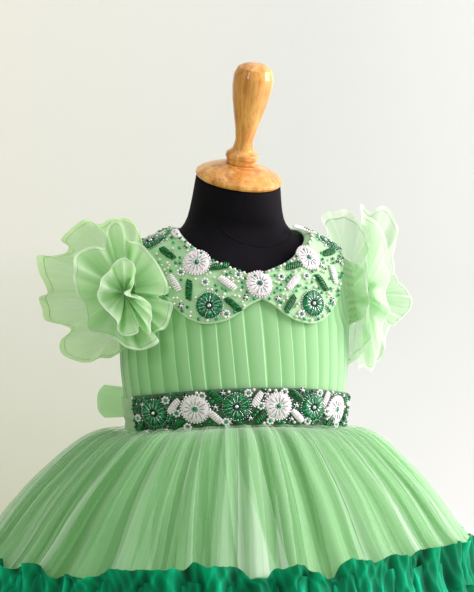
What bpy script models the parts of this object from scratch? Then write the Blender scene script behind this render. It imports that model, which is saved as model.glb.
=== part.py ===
"""A small girl's party dress on a limbless table-top dress form. Metres, +Z up, front towards -Y.

The dress has a knife-pleated bodice, a two-lobed collar and a waist belt with bead flowers, ruffled
organza cap sleeves, a gathered net skirt with a green frill at its hem, and a sash tied in a bow
behind. The form is a padded torso with a turned wooden cap and knob, on a post and a round base.

Angles go round the body from the front centre, 0 at -Y, 90 at the wearer's left (+X), 180 behind.
"""

import math

import bmesh
import bpy
from mathutils import Matrix, Vector

# Driving heights above the table
WAIST_SIDE = 0.296
WAIST_FRONT_RISE = 0.009
HEM_HEIGHT = 0.175
ARMHOLE_HEIGHT = 0.435
BOW_HEIGHT = 0.319

# Gaps and walls
SEAM_GAP = 0.0003
FORM_INSET = 0.0010
FORM_CLEARANCE = 0.0016
BODICE_WALL = 0.0012
PLEAT_RELIEF = 0.0013
COLLAR_ROOT_OFFSET = 0.0022
COLLAR_ROLL = 0.0030
COLLAR_OFFSET = 0.0058
COLLAR_WALL = 0.0016
BELT_OFFSET = 0.0053
BELT_WALL = 0.0016
SASH_WALL = 0.0014
MOTIF_GAP = 0.0006
MOTIF_HEIGHT = 0.0024
NET_WALL = 0.0012
FRILL_STANDOFF = 0.0015
FRILL_DROP = 0.0010
KNOT_HALF_SIZE = Vector((0.014, 0.010, 0.0185))

# Widths and counts
BELT_WIDTH = 0.036
BELT_LIFT = 0.0016
BELT_HALF_ANGLE = 76.0
PLEATS_ACROSS = 21
SKIRT_FOLDS = 36
HEM_FLUTES = 42
ARMHOLE_HALF_ANGLE = 22.0
ARMHOLE_HALF_HEIGHT = 0.033
BODICE_NECK_DROP = 0.0045
SKIRT_HEM_RADIUS = 0.244
SKIRT_HEM_SHIFT = Vector((-0.011, 0.0035))
SKIRT_HEM_SIDE_RISE = 0.005

# Torso sections: height, half width, half depth
TORSO_SECTIONS = (
    (0.196, 0.070, 0.056),
    (0.206, 0.090, 0.067),
    (0.235, 0.102, 0.075),
    (0.265, 0.105, 0.077),
    (0.296, 0.104, 0.074),
    (0.330, 0.108, 0.0733),
    (0.365, 0.112, 0.073),
    (0.400, 0.113, 0.072),
    (0.430, 0.112, 0.068),
    (0.450, 0.110, 0.061),
    (0.463, 0.107, 0.055),
    (0.473, 0.102, 0.050),
    (0.481, 0.090, 0.047),
    (0.487, 0.077, 0.046),
    (0.493, 0.064, 0.0455),
    (0.500, 0.054, 0.0450),
)
SECTION_SQUARENESS = 2.2

# Neck rings above the torso: height, radius, shift to the front, tilt towards the front in degrees
NECK_SECTIONS = (
    (0.508, 0.0480, 0.002, 2.0),
    (0.524, 0.0450, 0.006, 10.0),
    (0.546, 0.0425, 0.012, 20.0),
)
CAP_TILT = 20.0
CAP_SIDE_LEAN = 3.0

# Heights of the neckline and of the collar's outer edge, at angles round the body
NECKLINE = (
    (0, 0.4500),
    (18, 0.4635),
    (30, 0.4760),
    (42, 0.4835),
    (60, 0.4900),
    (90, 0.4950),
    (180, 0.5000),
)
COLLAR_EDGE = (
    (0, 0.4280),
    (5, 0.4220),
    (10, 0.4140),
    (17, 0.4070),
    (25, 0.4045),
    (33, 0.4085),
    (42, 0.4205),
    (48, 0.4330),
    (54, 0.4480),
    (62, 0.4620),
    (72, 0.4710),
    (90, 0.4760),
    (108, 0.4710),
    (118, 0.4620),
    (126, 0.4480),
    (132, 0.4330),
    (138, 0.4205),
    (147, 0.4095),
    (155, 0.4060),
    (163, 0.4090),
    (172, 0.4190),
    (180, 0.4300),
)
COLLAR_TURN = 2.0

# The skirt's side curve: share of its length, share of its spread, share of its drop
SKIRT_CURVE = (
    (0.00, 0.00, 0.000),
    (0.09, 0.12, 0.017),
    (0.19, 0.25, 0.070),
    (0.31, 0.38, 0.180),
    (0.43, 0.50, 0.310),
    (0.56, 0.62, 0.450),
    (0.70, 0.74, 0.620),
    (0.84, 0.86, 0.810),
    (1.00, 1.00, 1.000),
)

# Bead flowers of the collar: name, angle, height, radius, colour of the petals
COLLAR_FLOWERS = (
    ("front_centre", 1.5, 0.4400, 0.0130, "white"),
    ("front_right_low", -21.5, 0.4205, 0.0130, "green"),
    ("front_left_low", 28.5, 0.4225, 0.0130, "green"),
    ("front_right_high", -27.5, 0.4600, 0.0130, "white"),
    ("front_left_high", 30.5, 0.4650, 0.0125, "white"),
    ("shoulder_right", -67.0, 0.4780, 0.0115, "green"),
    ("shoulder_left", 66.0, 0.4780, 0.0115, "green"),
)

# Bead flowers of the belt, from the right to the left of the wearer: angle, colour of the petals
BELT_FLOWERS = (
    (-56.0, "green"),
    (-30.5, "white"),
    (-9.5, "green"),
    (9.0, "white"),
    (29.5, "green"),
    (49.5, "white"),
)
BELT_FLOWER_RADIUS = 0.0138

# Sleeve mouths: the centre as distance out from the middle, forward and up, the way it faces
# as degrees to the front, its radius across and its radius up
SLEEVE_MOUTHS = {
    "right": ((0.126, 0.052, 0.434), 62.0, 0.012, 0.018),
    "left": ((0.138, 0.012, 0.434), 20.0, 0.014, 0.019),
}

# Sleeve frills: name, where it is sewn as a share of the sleeve's length, points round it
SLEEVE_FRILLS = {
    "right": (("inner", 0.12, 53), ("middle", 0.50, 48), ("outer", 1.00, 36)),
    "left": (("inner", 0.20, 50), ("middle", 0.60, 53), ("outer", 1.00, 36)),
}

# The photograph's view, in which the frills' edges are given: degrees round from the front,
# distance and height
VIEW_TURN = 16.0
VIEW_DISTANCE = 2.2
VIEW_HEIGHT = 0.431
# Each sleeve's mouth in that view, in millimetres: across, up, towards the viewer
SLEEVE_SIGHTS = {"right": (-110, 5, 85), "left": (117, 4, -20)}
# The frills' free edges from those places: across, up, towards the viewer
FRILL_EDGES = {
    "right": {
        "inner": (
            (16, 53, -18),
            (9, 69, -14),
            (-4, 73, -6),
            (-15, 72, -16),
            (-27, 67, -24),
            (-41, 72, -18),
            (-55, 61, -12),
            (-64, 51, -14),
            (-57, 46, -24),
            (-60, 38, -28),
            (-74, 35, -20),
            (-88, 35, -12),
            (-86, 19, -10),
            (-77, -2, -18),
            (-86, -7, -22),
            (-83, -19, -14),
            (-80, -29, -10),
            (-65, -33, -16),
            (-54, -39, -26),
            (-64, -49, -20),
            (-65, -59, -12),
            (-58, -66, -10),
            (-39, -72, -14),
            (-25, -67, -22),
            (-12, -66, -20),
            (6, -50, -14),
            (18, -28, -14),
            (22, 0, -16),
            (20, 30, -18),
        ),
        "middle": (
            (44, -1, 4),
            (33, -6, -2),
            (48, -13, 8),
            (45, -27, 10),
            (41, -37, 10),
            (30, -42, 2),
            (34, -51, 12),
            (25, -57, 16),
            (5, -58, 18),
            (-13, -47, 14),
            (-37, -39, 8),
            (-40, -27, 0),
            (-41, -14, -4),
            (-49, -1, 2),
            (-52, 19, 8),
            (-49, 36, 8),
            (-33, 45, 2),
            (-20, 44, -4),
            (-19, 57, 2),
            (-12, 71, 4),
            (-5, 69, 2),
            (3, 51, -8),
            (16, 48, -6),
            (30, 32, 0),
            (40, 14, 8),
        ),
        "outer": (
            (-27, -5, 28),
            (-24, 11, 30),
            (-15, 21, 30),
            (-8, 30, 28),
            (0, 34, 26),
            (8, 28, 22),
            (10, 19, 20),
            (8, 6, 22),
            (7, -4, 26),
            (15, -9, 25),
            (25, -13, 20),
            (27, -26, 22),
            (25, -42, 20),
            (18, -39, 14),
            (14, -35, 20),
            (13, -42, 27),
            (3, -45, 28),
            (-7, -39, 26),
            (-9, -29, 28),
            (-19, -19, 28),
        ),
    },
    "left": {
        "inner": (
            (-31, 73, -15),
            (-26, 80, -9),
            (-16, 81, -6),
            (-8, 83, -2),
            (-3, 81, 4),
            (5, 73, 11),
            (15, 64, 16),
            (17, 51, 22),
            (10, 40, 28),
            (7, 29, 34),
            (14, 16, 38),
            (15, -4, 42),
            (17, -22, 40),
            (11, -34, 34),
            (14, -48, 28),
            (6, -58, 20),
            (5, -66, 12),
            (0, -74, -4),
            (4, -62, -18),
            (4, -40, -34),
            (4, -15, -48),
            (3, 10, -50),
            (-2, 35, -40),
            (-20, 61, -27),
        ),
        "middle": (
            (18, 80, -5),
            (11, 87, -1),
            (8, 87, 4),
            (13, 79, 9),
            (22, 72, 14),
            (29, 63, 20),
            (35, 51, 25),
            (36, 40, 30),
            (29, 33, 36),
            (35, 24, 42),
            (38, 13, 44),
            (34, -2, 46),
            (38, -18, 42),
            (32, -30, 38),
            (30, -48, 32),
            (26, -62, 22),
            (20, -79, 8),
            (13, -75, 1),
            (6, -77, -6),
            (16, -73, -14),
            (28, -70, -16),
            (33, -58, -18),
            (34, -46, -24),
            (38, -34, -30),
            (46, -24, -36),
            (44, -8, -40),
            (42, 10, -42),
            (43, 24, -40),
            (42, 38, -34),
            (45, 56, -26),
            (45, 68, -20),
            (40, 80, -14),
            (33, 86, -10),
            (26, 85, -6),
        ),
        "outer": (
            (47, 10, -12),
            (54, 4, -5),
            (60, -6, 2),
            (60, -15, 8),
            (54, -23, 13),
            (46, -31, 15),
            (38, -33, 19),
            (32, -23, 24),
            (30, -8, 26),
            (31, 6, 22),
            (36, 17, 13),
            (43, 18, 0),
        ),
    },
}

# Turned wood, as (radius, height) down the outer side
KNOB_PROFILE = (
    (0.0000, 0.1017),
    (0.0090, 0.1009),
    (0.0165, 0.0970),
    (0.0197, 0.0890),
    (0.0196, 0.0770),
    (0.0175, 0.0630),
    (0.0142, 0.0490),
    (0.0107, 0.0350),
    (0.0088, 0.0230),
    (0.0105, 0.0145),
    (0.0158, 0.0102),
    (0.0166, 0.0065),
    (0.0150, 0.0040),
    (0.0150, 0.0000),
    (0.0000, 0.0000),
)
CAP_PROFILE = (
    (0.0000, 0.0190),
    (0.0165, 0.0175),
    (0.0300, 0.0130),
    (0.0400, 0.0082),
    (0.0432, 0.0055),
    (0.0436, 0.0030),
    (0.0420, 0.0006),
    (0.0400, 0.0000),
    (0.0000, 0.0000),
)
POST_PROFILE = ((0.0, 0.1775), (0.014, 0.1775), (0.014, 0.0), (0.0, 0.0))
BASE_PROFILE = (
    (0.0000, 0.0180),
    (0.1100, 0.0180),
    (0.1240, 0.0150),
    (0.1300, 0.0090),
    (0.1300, 0.0040),
    (0.1270, 0.0000),
    (0.0000, 0.0000),
)
TURNED_STEPS = 24
KNOB_STEPS = 16

# Colours
COLOURS = {
    "mint_net": ((0.47, 0.74, 0.42, 1.0), 0.75),
    "mint_organza": ((0.50, 0.78, 0.42, 1.0), 0.55),
    "collar_cloth": ((0.50, 0.78, 0.47, 1.0), 0.65),
    "belt_cloth": ((0.03, 0.16, 0.08, 1.0), 0.60),
    "green_frill": ((0.01, 0.30, 0.14, 1.0), 0.60),
    "white_beads": ((0.85, 0.83, 0.82, 1.0), 0.30),
    "green_beads": ((0.01, 0.20, 0.10, 1.0), 0.25),
    "black_jersey": ((0.012, 0.011, 0.014, 1.0), 0.85),
    "varnished_wood": ((0.62, 0.33, 0.12, 1.0), 0.30),
}


def curve_value(table, x, column=1):
    """A smooth value read from a table whose first column rises, with no overshoot."""
    xs = [row[0] for row in table]
    ys = [row[column] for row in table]
    if x <= xs[0]:
        return ys[0]
    if x >= xs[-1]:
        return ys[-1]
    k = next(i for i in range(len(xs) - 1) if xs[i] <= x <= xs[i + 1])
    step = xs[k + 1] - xs[k]
    rise = [(ys[i + 1] - ys[i]) / (xs[i + 1] - xs[i]) for i in range(len(xs) - 1)]

    def slope(i):
        if i in (0, len(xs) - 1):
            return rise[min(i, len(rise) - 1)]
        before, after = rise[i - 1], rise[i]
        return 0.0 if before * after <= 0 else 2 * before * after / (before + after)

    t = (x - xs[k]) / step
    start, end = slope(k) * step, slope(k + 1) * step
    return (
        ys[k] * (1 + 2 * t) * (1 - t) ** 2
        + start * t * (1 - t) ** 2
        + ys[k + 1] * t * t * (3 - 2 * t)
        + end * t * t * (t - 1)
    )


def torso_surface(angle, height):
    """A point on the torso, by its angle round the body in degrees and its height."""
    turn = math.radians(angle)
    power = 2 / SECTION_SQUARENESS
    across = math.copysign(abs(math.sin(turn)) ** power, math.sin(turn))
    forward = math.copysign(abs(math.cos(turn)) ** power, math.cos(turn))
    half_width = curve_value(TORSO_SECTIONS, height, 1)
    half_depth = curve_value(TORSO_SECTIONS, height, 2)
    return Vector((across * half_width, -forward * half_depth, height))


def body_point(angle, height, offset=0.0):
    """A point at that distance outside the torso, along its own normal."""
    turn, rise = 0.6, 0.0012
    along = torso_surface(angle + turn, height) - torso_surface(angle - turn, height)
    up = torso_surface(angle, height + rise) - torso_surface(angle, height - rise)
    return torso_surface(angle, height) + along.cross(up).normalized() * offset


def even_angle(share):
    """The angle for a share of the way round, so that equal shares are equal lengths of cloth."""
    flat = share * 360.0
    return flat - 6.0 * math.sin(math.radians(2 * flat))


def waist_height(angle):
    """The waist seam, which is a little higher in front."""
    lift = max(0.0, math.cos(math.radians(angle)))
    return WAIST_SIDE + WAIST_FRONT_RISE * lift**2


def neckline_height(angle):
    return curve_value(NECKLINE, abs(angle))


def armhole_half_angle(height):
    """How far the armhole reaches each side of the shoulder line at a height, in degrees."""
    level = (height - ARMHOLE_HEIGHT) / ARMHOLE_HALF_HEIGHT
    return ARMHOLE_HALF_ANGLE * math.sqrt(1 - level**2) if abs(level) < 1 else 0.0


def material_of(name):
    """The material of that name, made once."""
    found = bpy.data.materials.get(name)
    if found:
        return found
    colour, roughness = COLOURS[name]
    made = bpy.data.materials.new(name)
    made.use_nodes = True
    shader = made.node_tree.nodes["Principled BSDF"]
    shader.inputs["Base Color"].default_value = colour
    shader.inputs["Roughness"].default_value = roughness
    made.diffuse_color = colour
    return made


def add_mesh(name, points, faces, material):
    """One named object from points and faces, with its normals pointing out."""
    mesh = bpy.data.meshes.new(name)
    mesh.from_pydata([tuple(p) for p in points], [], faces)
    work = bmesh.new()
    work.from_mesh(mesh)
    bmesh.ops.recalc_face_normals(work, faces=work.faces)
    work.to_mesh(mesh)
    work.free()
    mesh.materials.append(material_of(material))
    made = bpy.data.objects.new(name, mesh)
    dress_parts.objects.link(made)
    return made


def grid_triangles(rows, columns, closed, first=0):
    """Triangles over a grid of points stored row by row."""
    faces = []
    for i in range(rows - 1):
        for j in range(columns if closed else columns - 1):
            right = (j + 1) % columns
            a, b = first + i * columns + j, first + i * columns + right
            c, d = first + (i + 1) * columns + right, first + (i + 1) * columns + j
            faces += [(a, b, c), (a, c, d)]
    return faces


def cloth_sheet(name, rows, thickness, closed, material):
    """Cloth that waves on both sides: an open sheet with Solidify."""
    points = [p for row in rows for p in row]
    faces = grid_triangles(len(rows), len(rows[0]), closed)
    made = add_mesh(name, points, faces, material)
    wall = made.modifiers.new("wall", "SOLIDIFY")
    wall.thickness = thickness
    wall.offset = 0.0
    made.data.shade_smooth()
    return made


def cloth_wall(name, outer, inner, closed, material):
    """Cloth whose outside is raised over a plain inside: two grids joined round their edges."""
    rows, columns = len(outer), len(outer[0])
    points = [p for row in outer for p in row] + [p for row in inner for p in row]
    under = rows * columns
    faces = grid_triangles(rows, columns, closed)
    faces += [(c, b, a) for a, b, c in grid_triangles(rows, columns, closed, under)]
    edges = [(0, columns)] if closed else [(0, columns - 1)]
    for start, count in edges:
        for j in range(start, count):
            right = (j + 1) % columns
            top = (rows - 1) * columns
            faces += [(j, right, under + right), (j, under + right, under + j)]
            faces += [
                (top + j, under + top + right, top + right),
                (top + j, under + top + j, under + top + right),
            ]
    if not closed:
        for j in (0, columns - 1):
            for i in range(rows - 1):
                low, high = i * columns + j, (i + 1) * columns + j
                faces += [(low, high, under + high), (low, under + high, under + low)]
    made = add_mesh(name, points, faces, material)
    made.data.shade_smooth()
    return made


def turned(name, profile, material, location=(0, 0, 0), rotation=(0, 0, 0), steps=TURNED_STEPS):
    """A turned piece: a profile with a Screw modifier."""
    edges = [(i, i + 1) for i in range(len(profile) - 1)]
    mesh = bpy.data.meshes.new(name)
    mesh.from_pydata([(radius, 0.0, height) for radius, height in profile], edges, [])
    mesh.materials.append(material_of(material))
    made = bpy.data.objects.new(name, mesh)
    dress_parts.objects.link(made)
    screw = made.modifiers.new("turn", "SCREW")
    screw.steps = screw.render_steps = steps
    screw.use_merge_vertices = True
    screw.merge_threshold = 0.0001
    made.location = location
    made.rotation_euler = rotation
    return made


def make_form():
    """The padded torso and neck, the wooden cap and knob, the post and the base."""
    columns = 22
    rings = []
    for height, _, _ in TORSO_SECTIONS:
        rings.append([body_point(360 * j / columns, height, -FORM_INSET) for j in range(columns)])
    for height, radius, forward, tilt in NECK_SECTIONS:
        lean = Matrix.Rotation(math.radians(tilt), 4, "X")
        side = Matrix.Rotation(math.radians(CAP_SIDE_LEAN * tilt / CAP_TILT), 4, "Y")
        centre = Vector((0.0, -forward, height))
        ring = []
        for j in range(columns):
            turn = 2 * math.pi * j / columns
            spoke = Vector((radius * math.sin(turn), -radius * math.cos(turn), 0.0))
            ring.append(centre + side @ lean @ spoke)
        rings.append(ring)
    points = [p for ring in rings for p in ring]
    faces = grid_triangles(len(rings), columns, True)
    faces.append(tuple(range(columns)))
    faces.append(tuple(range(len(points) - columns, len(points))))
    torso = add_mesh("form_torso", points, faces, "black_jersey")
    torso.data.shade_smooth()

    height, _, forward, _ = NECK_SECTIONS[-1]
    lean = Matrix.Rotation(math.radians(CAP_TILT), 4, "X")
    tilt = Matrix.Rotation(math.radians(CAP_SIDE_LEAN), 4, "Y") @ lean
    up = tilt @ Vector((0.0, 0.0, 1.0))
    seat = Vector((0.0, -forward, height)) + up * SEAM_GAP
    cap_height = CAP_PROFILE[1][1]
    turned("form_neck_cap", CAP_PROFILE, "varnished_wood", seat, tilt.to_euler())
    knob_seat = seat + up * (cap_height + 0.0019)
    turned("form_knob", KNOB_PROFILE, "varnished_wood", knob_seat, tilt.to_euler(), KNOB_STEPS)
    base_top = BASE_PROFILE[0][1] + SEAM_GAP
    turned("stand_post", POST_PROFILE, "varnished_wood", (0, 0, base_top))
    turned("stand_base", BASE_PROFILE, "varnished_wood")


def panel_angle(nominal, height, seam):
    """Moves the outer pleats in, so that a panel ends at the armhole. Returns angle and squeeze."""
    free = 45.0
    side = abs(nominal)
    if side <= free:
        return nominal, 1.0
    limit = 90.0 - seam - armhole_half_angle(height)
    squeeze = (limit - free) / (90.0 - free)
    return math.copysign(free + (side - free) * squeeze, nominal), squeeze


def bodice_panel(name, first_share, last_share, pleats, turn):
    """A pleated bodice panel. Shares run from -1 to 1 between the side seams, turned to face turn."""
    seam = 0.15
    levels = (0.0, 0.32, 0.57, 0.75, 0.86, 0.92, 0.96, 1.0)
    shares = []
    for k in range(pleats):
        for along, relief in ((0.06, 0.0), (0.94, 1.0)):
            across = (k + along) / pleats
            shares.append((first_share + (last_share - first_share) * across, relief))
    shares = [(first_share, 0.0)] + shares + [(last_share, 0.0)]
    outer, inner = [], []
    for level in levels:
        outer_row, inner_row = [], []
        for share, relief in shares:
            nominal = even_angle(0.25 * share)
            base = nominal + turn
            bottom = waist_height(base)
            top = neckline_height(wrapped(base)) - BODICE_NECK_DROP
            height = bottom + level * (top - bottom)
            angle, squeeze = panel_angle(nominal, height, seam)
            inner_row.append(body_point(angle + turn, height, FORM_CLEARANCE))
            outside = FORM_CLEARANCE + BODICE_WALL + PLEAT_RELIEF * relief * squeeze
            outer_row.append(body_point(angle + turn, height, outside))
        outer.append(outer_row)
        inner.append(inner_row)
    cloth_wall(name, outer, inner, False, "mint_net")


def wrapped(angle):
    """The same angle between -180 and 180."""
    return (angle + 180.0) % 360.0 - 180.0


def make_bodice():
    """The front and the two backs, which meet at the side seams and at the centre back."""
    bodice_panel("bodice_front", -1.0, 1.0, PLEATS_ACROSS, 0.0)
    half = SEAM_GAP / 0.24
    back_pleats = PLEATS_ACROSS // 2
    bodice_panel("bodice_back_left", -1.0, -half, back_pleats, 180.0)
    bodice_panel("bodice_back_right", half, 1.0, back_pleats, 180.0)


def make_collar():
    """The left and right halves of the collar, each from the front centre to the back centre."""
    columns, levels = 25, 5
    gap_angle = 0.3
    for name, side in (("collar_right", -1), ("collar_left", 1)):
        outer, inner = [], []
        for i in range(-1, levels):
            offset = COLLAR_ROOT_OFFSET if i < 0 else COLLAR_OFFSET
            outer_row, inner_row = [], []
            for j in range(columns):
                angle = gap_angle + (180 - 2 * gap_angle) * j / (columns - 1)
                place = side * angle + COLLAR_TURN
                top = neckline_height(wrapped(place))
                rolled = top - COLLAR_ROLL
                edge = curve_value(COLLAR_EDGE, angle)
                height = top if i < 0 else rolled + (edge - rolled) * i / (levels - 1)
                inner_row.append(body_point(place, height, offset))
                outer_row.append(body_point(place, height, offset + COLLAR_WALL))
            outer.append(outer_row)
            inner.append(inner_row)
        cloth_wall(name, outer, inner, False, "collar_cloth")


def band_on_body(name, first, last, low, high, offset, thickness, columns, material):
    """A band round the waist between two angles, low and high above the waist seam."""
    outer, inner = [], []
    for height in (low, (low + high) / 2, high):
        angles = [first + (last - first) * j / (columns - 1) for j in range(columns)]
        inner.append([body_point(a, waist_height(a) + height, offset) for a in angles])
        outer.append([body_point(a, waist_height(a) + height, offset + thickness) for a in angles])
    cloth_wall(name, outer, inner, False, material)


def make_belt():
    """The beaded belt across the front, side seam to side seam."""
    low, high = BELT_LIFT, BELT_LIFT + BELT_WIDTH
    first, last = -BELT_HALF_ANGLE, BELT_HALF_ANGLE
    band_on_body("belt_front", first, last, low, high, BELT_OFFSET, BELT_WALL, 21, "belt_cloth")


def flower_on_body(name, angle, height, offset, radius, material):
    """A round bead flower that follows the cloth under it: a domed disc with a rim."""
    spokes = 9
    step = 0.5
    along = (body_point(angle + step, height) - body_point(angle - step, height)).length / (2 * step)
    rise = 0.001
    upward = (body_point(angle, height + rise) - body_point(angle, height - rise)).length / (2 * rise)

    def place(share, turn, out):
        across, up = radius * share * math.sin(turn), radius * share * math.cos(turn)
        return body_point(angle + across / along, height + up / upward, offset + out)

    turns = [2 * math.pi * k / spokes for k in range(spokes)]
    rings = [
        [place(1.0, t, 0.0) for t in turns],
        [place(1.0, t, MOTIF_HEIGHT * 0.75) for t in turns],
        [place(0.55, t, MOTIF_HEIGHT) for t in turns],
        [place(0.55, t, 0.0) for t in turns],
    ]
    points = [p for ring in rings for p in ring]
    points += [place(0.0, 0.0, MOTIF_HEIGHT * 0.9), place(0.0, 0.0, 0.0)]
    top, under = len(points) - 2, len(points) - 1
    faces = grid_triangles(3, spokes, True)
    for k in range(spokes):
        right = (k + 1) % spokes
        faces.append((2 * spokes + k, 2 * spokes + right, top))
        faces.append((3 * spokes + right, 3 * spokes + k, under))
        faces += [(k, 3 * spokes + right, right), (k, 3 * spokes + k, 3 * spokes + right)]
    made = add_mesh(name, points, faces, material)
    made.data.shade_smooth()


def make_flowers():
    """The bead flowers of the collar and of the belt."""
    for name, angle, height, radius, colour in COLLAR_FLOWERS:
        offset = COLLAR_OFFSET + COLLAR_WALL + MOTIF_GAP
        flower_on_body("flower_" + name, angle, height, offset, radius, colour + "_beads")
    for k, (angle, colour) in enumerate(BELT_FLOWERS):
        height = waist_height(angle) + BELT_LIFT + BELT_WIDTH / 2
        offset = BELT_OFFSET + BELT_WALL + MOTIF_GAP
        name = f"flower_belt_{k + 1}"
        flower_on_body(name, angle, height, offset, BELT_FLOWER_RADIUS, colour + "_beads")


def fold_wave(share):
    """The skirt's folds round the hem: uneven in spacing and in depth, from about -1 to 1."""
    turn = 2 * math.pi * share
    phase = SKIRT_FOLDS * turn + 0.9 * math.sin(5 * turn + 0.7) + 0.6 * math.sin(9 * turn + 2.1)
    depth = 0.78 + 0.18 * math.sin(7 * turn + 1.3) + 0.10 * math.sin(11 * turn + 4.0)
    return depth * (math.sin(phase) + 0.22 * math.sin(2 * phase + 0.5))


def skirt_base(share, along):
    """The skirt before its folds, by the share round the body and the share down its length."""
    angle = even_angle(share)
    waist = body_point(angle, waist_height(angle), 0.0038)
    turn = 2 * math.pi * share
    away = Vector((math.sin(turn), -math.cos(turn)))
    rim = SKIRT_HEM_SHIFT + SKIRT_HEM_RADIUS * away
    spread = curve_value(SKIRT_CURVE, along, 1)
    drop = curve_value(SKIRT_CURVE, along, 2)
    top = waist.z - SEAM_GAP - NET_WALL / 2
    hem = HEM_HEIGHT + SKIRT_HEM_SIDE_RISE * away.x
    flat = Vector((waist.x, waist.y)).lerp(rim, spread)
    return Vector((flat.x, flat.y, top + (hem - top) * drop))


def skirt_point(share, along, outside=0.0):
    """A point on the folded skirt, moved out by outside. The folds lie level at the waist."""
    nudge = 0.01
    low, high = max(0.0, along - nudge), min(1.0, along + nudge)
    down = skirt_base(share, high) - skirt_base(share, low)
    across = skirt_base(share + 0.002, along) - skirt_base(share - 0.002, along)
    normal = down.cross(across).normalized()
    turn = 2 * math.pi * share
    level = Vector((math.sin(turn), -math.cos(turn), 0.0))
    fold_way = level.lerp(normal, min(1.0, along / 0.12)).normalized()
    depth = 0.0016 + 0.0080 * along**0.8
    return skirt_base(share, along) + fold_way * depth * fold_wave(share) + normal * outside


def panel_shares(count, first, last, seam_share):
    """Evenly spread shares between two seams, each seam half open."""
    low, high = first + seam_share, last - seam_share
    return [low + (high - low) * j / count for j in range(count + 1)]


def make_skirt():
    """The front and back of the gathered net skirt, which meet at the side seams."""
    columns = SKIRT_FOLDS * 2
    downs = (0.0, 0.07, 0.22, 0.46, 0.73, 1.0)
    for name, first in (("skirt_front", -0.25), ("skirt_back", 0.25)):
        shares = panel_shares(columns, first, first + 0.5, 0.0005)
        rows = [[skirt_point(share, along) for share in shares] for along in downs]
        cloth_sheet(name, rows, NET_WALL, False, "mint_net")


def flute_wave(share):
    """The frill's flutes round the hem."""
    turn = 2 * math.pi * share
    phase = HEM_FLUTES * turn + 1.1 * math.sin(7 * turn + 0.4) + 0.5 * math.sin(13 * turn)
    return (0.85 + 0.15 * math.sin(6 * turn + 2.0)) * math.sin(phase)


def make_hem_frill():
    """The green frill: sewn along one line just under the hem, with a free edge above and below."""
    # Each row: distance out from the hem, distance up, how far the flutes push it out and up
    lines = (
        (0.0140, 0.0060, 0.0055, 0.0020),
        (0.0009, -0.0011, 0.0000, 0.0000),
        (0.0110, -0.0180, 0.0050, 0.0000),
        (0.0175, -0.0420, 0.0090, 0.0025),
    )
    columns = SKIRT_FOLDS * 2
    for name, first in (("hem_frill_front", -0.25), ("hem_frill_back", 0.25)):
        shares = panel_shares(columns, first, first + 0.5, 0.0005)
        rows = []
        for out, up, swing, lift in lines:
            row = []
            for share in shares:
                hem = skirt_point(share, 1.0)
                turn = 2 * math.pi * share
                away = Vector((math.sin(turn), -math.cos(turn), 0.0))
                wave = flute_wave(share)
                row.append(hem + away * (out + swing * wave) + Vector((0, 0, up + lift * wave)))
            rows.append(row)
        cloth_sheet(name, rows, NET_WALL, False, "green_frill")


def facing(side, tilt):
    """The way that a sleeve's ring faces, and the direction across it towards the front."""
    turn = math.radians(tilt)
    out = Vector((side * math.cos(turn), -math.sin(turn), 0.0))
    forward = Vector((-side * math.sin(turn), -math.cos(turn), 0.0))
    return out, forward


def ring_point(side, centre, tilt, across, upward, turn):
    """A point on a sleeve's ring: turn 0 is at its front and 90 degrees at its top."""
    out, forward = facing(side, tilt)
    middle = Vector((side * centre[0], -centre[1], centre[2]))
    return middle + forward * (across * math.cos(turn)) + Vector((0, 0, upward * math.sin(turn)))


def armhole_point(side, turn):
    """A point on the seam that lies over the armhole's edge, outside the bodice."""
    angle = 90.0 - (ARMHOLE_HALF_ANGLE + 1.2) * math.cos(turn)
    height = ARMHOLE_HEIGHT + (ARMHOLE_HALF_HEIGHT + 0.001) * math.sin(turn)
    return body_point(side * angle, height, 0.0052)


def sleeve_point(label, side, turn, along):
    """A point on the sleeve, from the armhole at 0 to its mouth at 1."""
    centre, tilt, across, upward = SLEEVE_MOUTHS[label]
    mouth = ring_point(side, centre, tilt, across, upward, turn)
    root = armhole_point(side, turn)
    out, _ = facing(side, tilt)
    return root.lerp(mouth, along) + out * (0.004 * math.sin(math.pi * along))


def frill_root(label, side, turn, share):
    """The point just outside the sleeve where a frill is sewn on. The last lies past its mouth."""
    nudge = 0.05
    start = sleeve_point(label, side, turn, share)
    axis = (start - sleeve_point(label, side, turn, share - nudge)).normalized()
    after = sleeve_point(label, side, turn + nudge, share)
    before = sleeve_point(label, side, turn - nudge, share)
    clear = (after - before).cross(axis).normalized() * -side
    past_mouth = share**4
    return start + clear * FRILL_STANDOFF * (1 - 0.7 * past_mouth) + axis * FRILL_DROP * past_mouth


def view_point(across, up, near):
    """The point seen at a place in the torso's plane, so far towards the viewer, in millimetres."""
    turn = math.radians(VIEW_TURN)
    scale = (VIEW_DISTANCE - near / 1000) / VIEW_DISTANCE / 1000
    right = Vector((math.cos(turn), -math.sin(turn), 0.0))
    toward = Vector((-math.sin(turn), -math.cos(turn), 0.0))
    return right * across * scale + toward * near / 1000 + Vector((0, 0, VIEW_HEIGHT + up * scale))


def closed_curve(points, count):
    """A smooth closed line through points, with count points evenly along it."""
    line = []
    for k in range(len(points)):
        a, b, c, d = (points[(k + i - 1) % len(points)] for i in range(4))
        for step in range(16):
            t = step / 16
            low, high = 2 * a - 5 * b + 4 * c - d, 3 * b - a - 3 * c + d
            line.append(0.5 * (2 * b + (c - a) * t + low * t**2 + high * t**3))
    line.append(line[0])
    lengths = [0.0]
    for before, after in zip(line, line[1:]):
        lengths.append(lengths[-1] + (after - before).length)
    made, k = [], 0
    for j in range(count):
        place = lengths[-1] * j / count
        while lengths[k + 1] < place:
            k += 1
        made.append(line[k].lerp(line[k + 1], (place - lengths[k]) / (lengths[k + 1] - lengths[k])))
    return made


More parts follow.
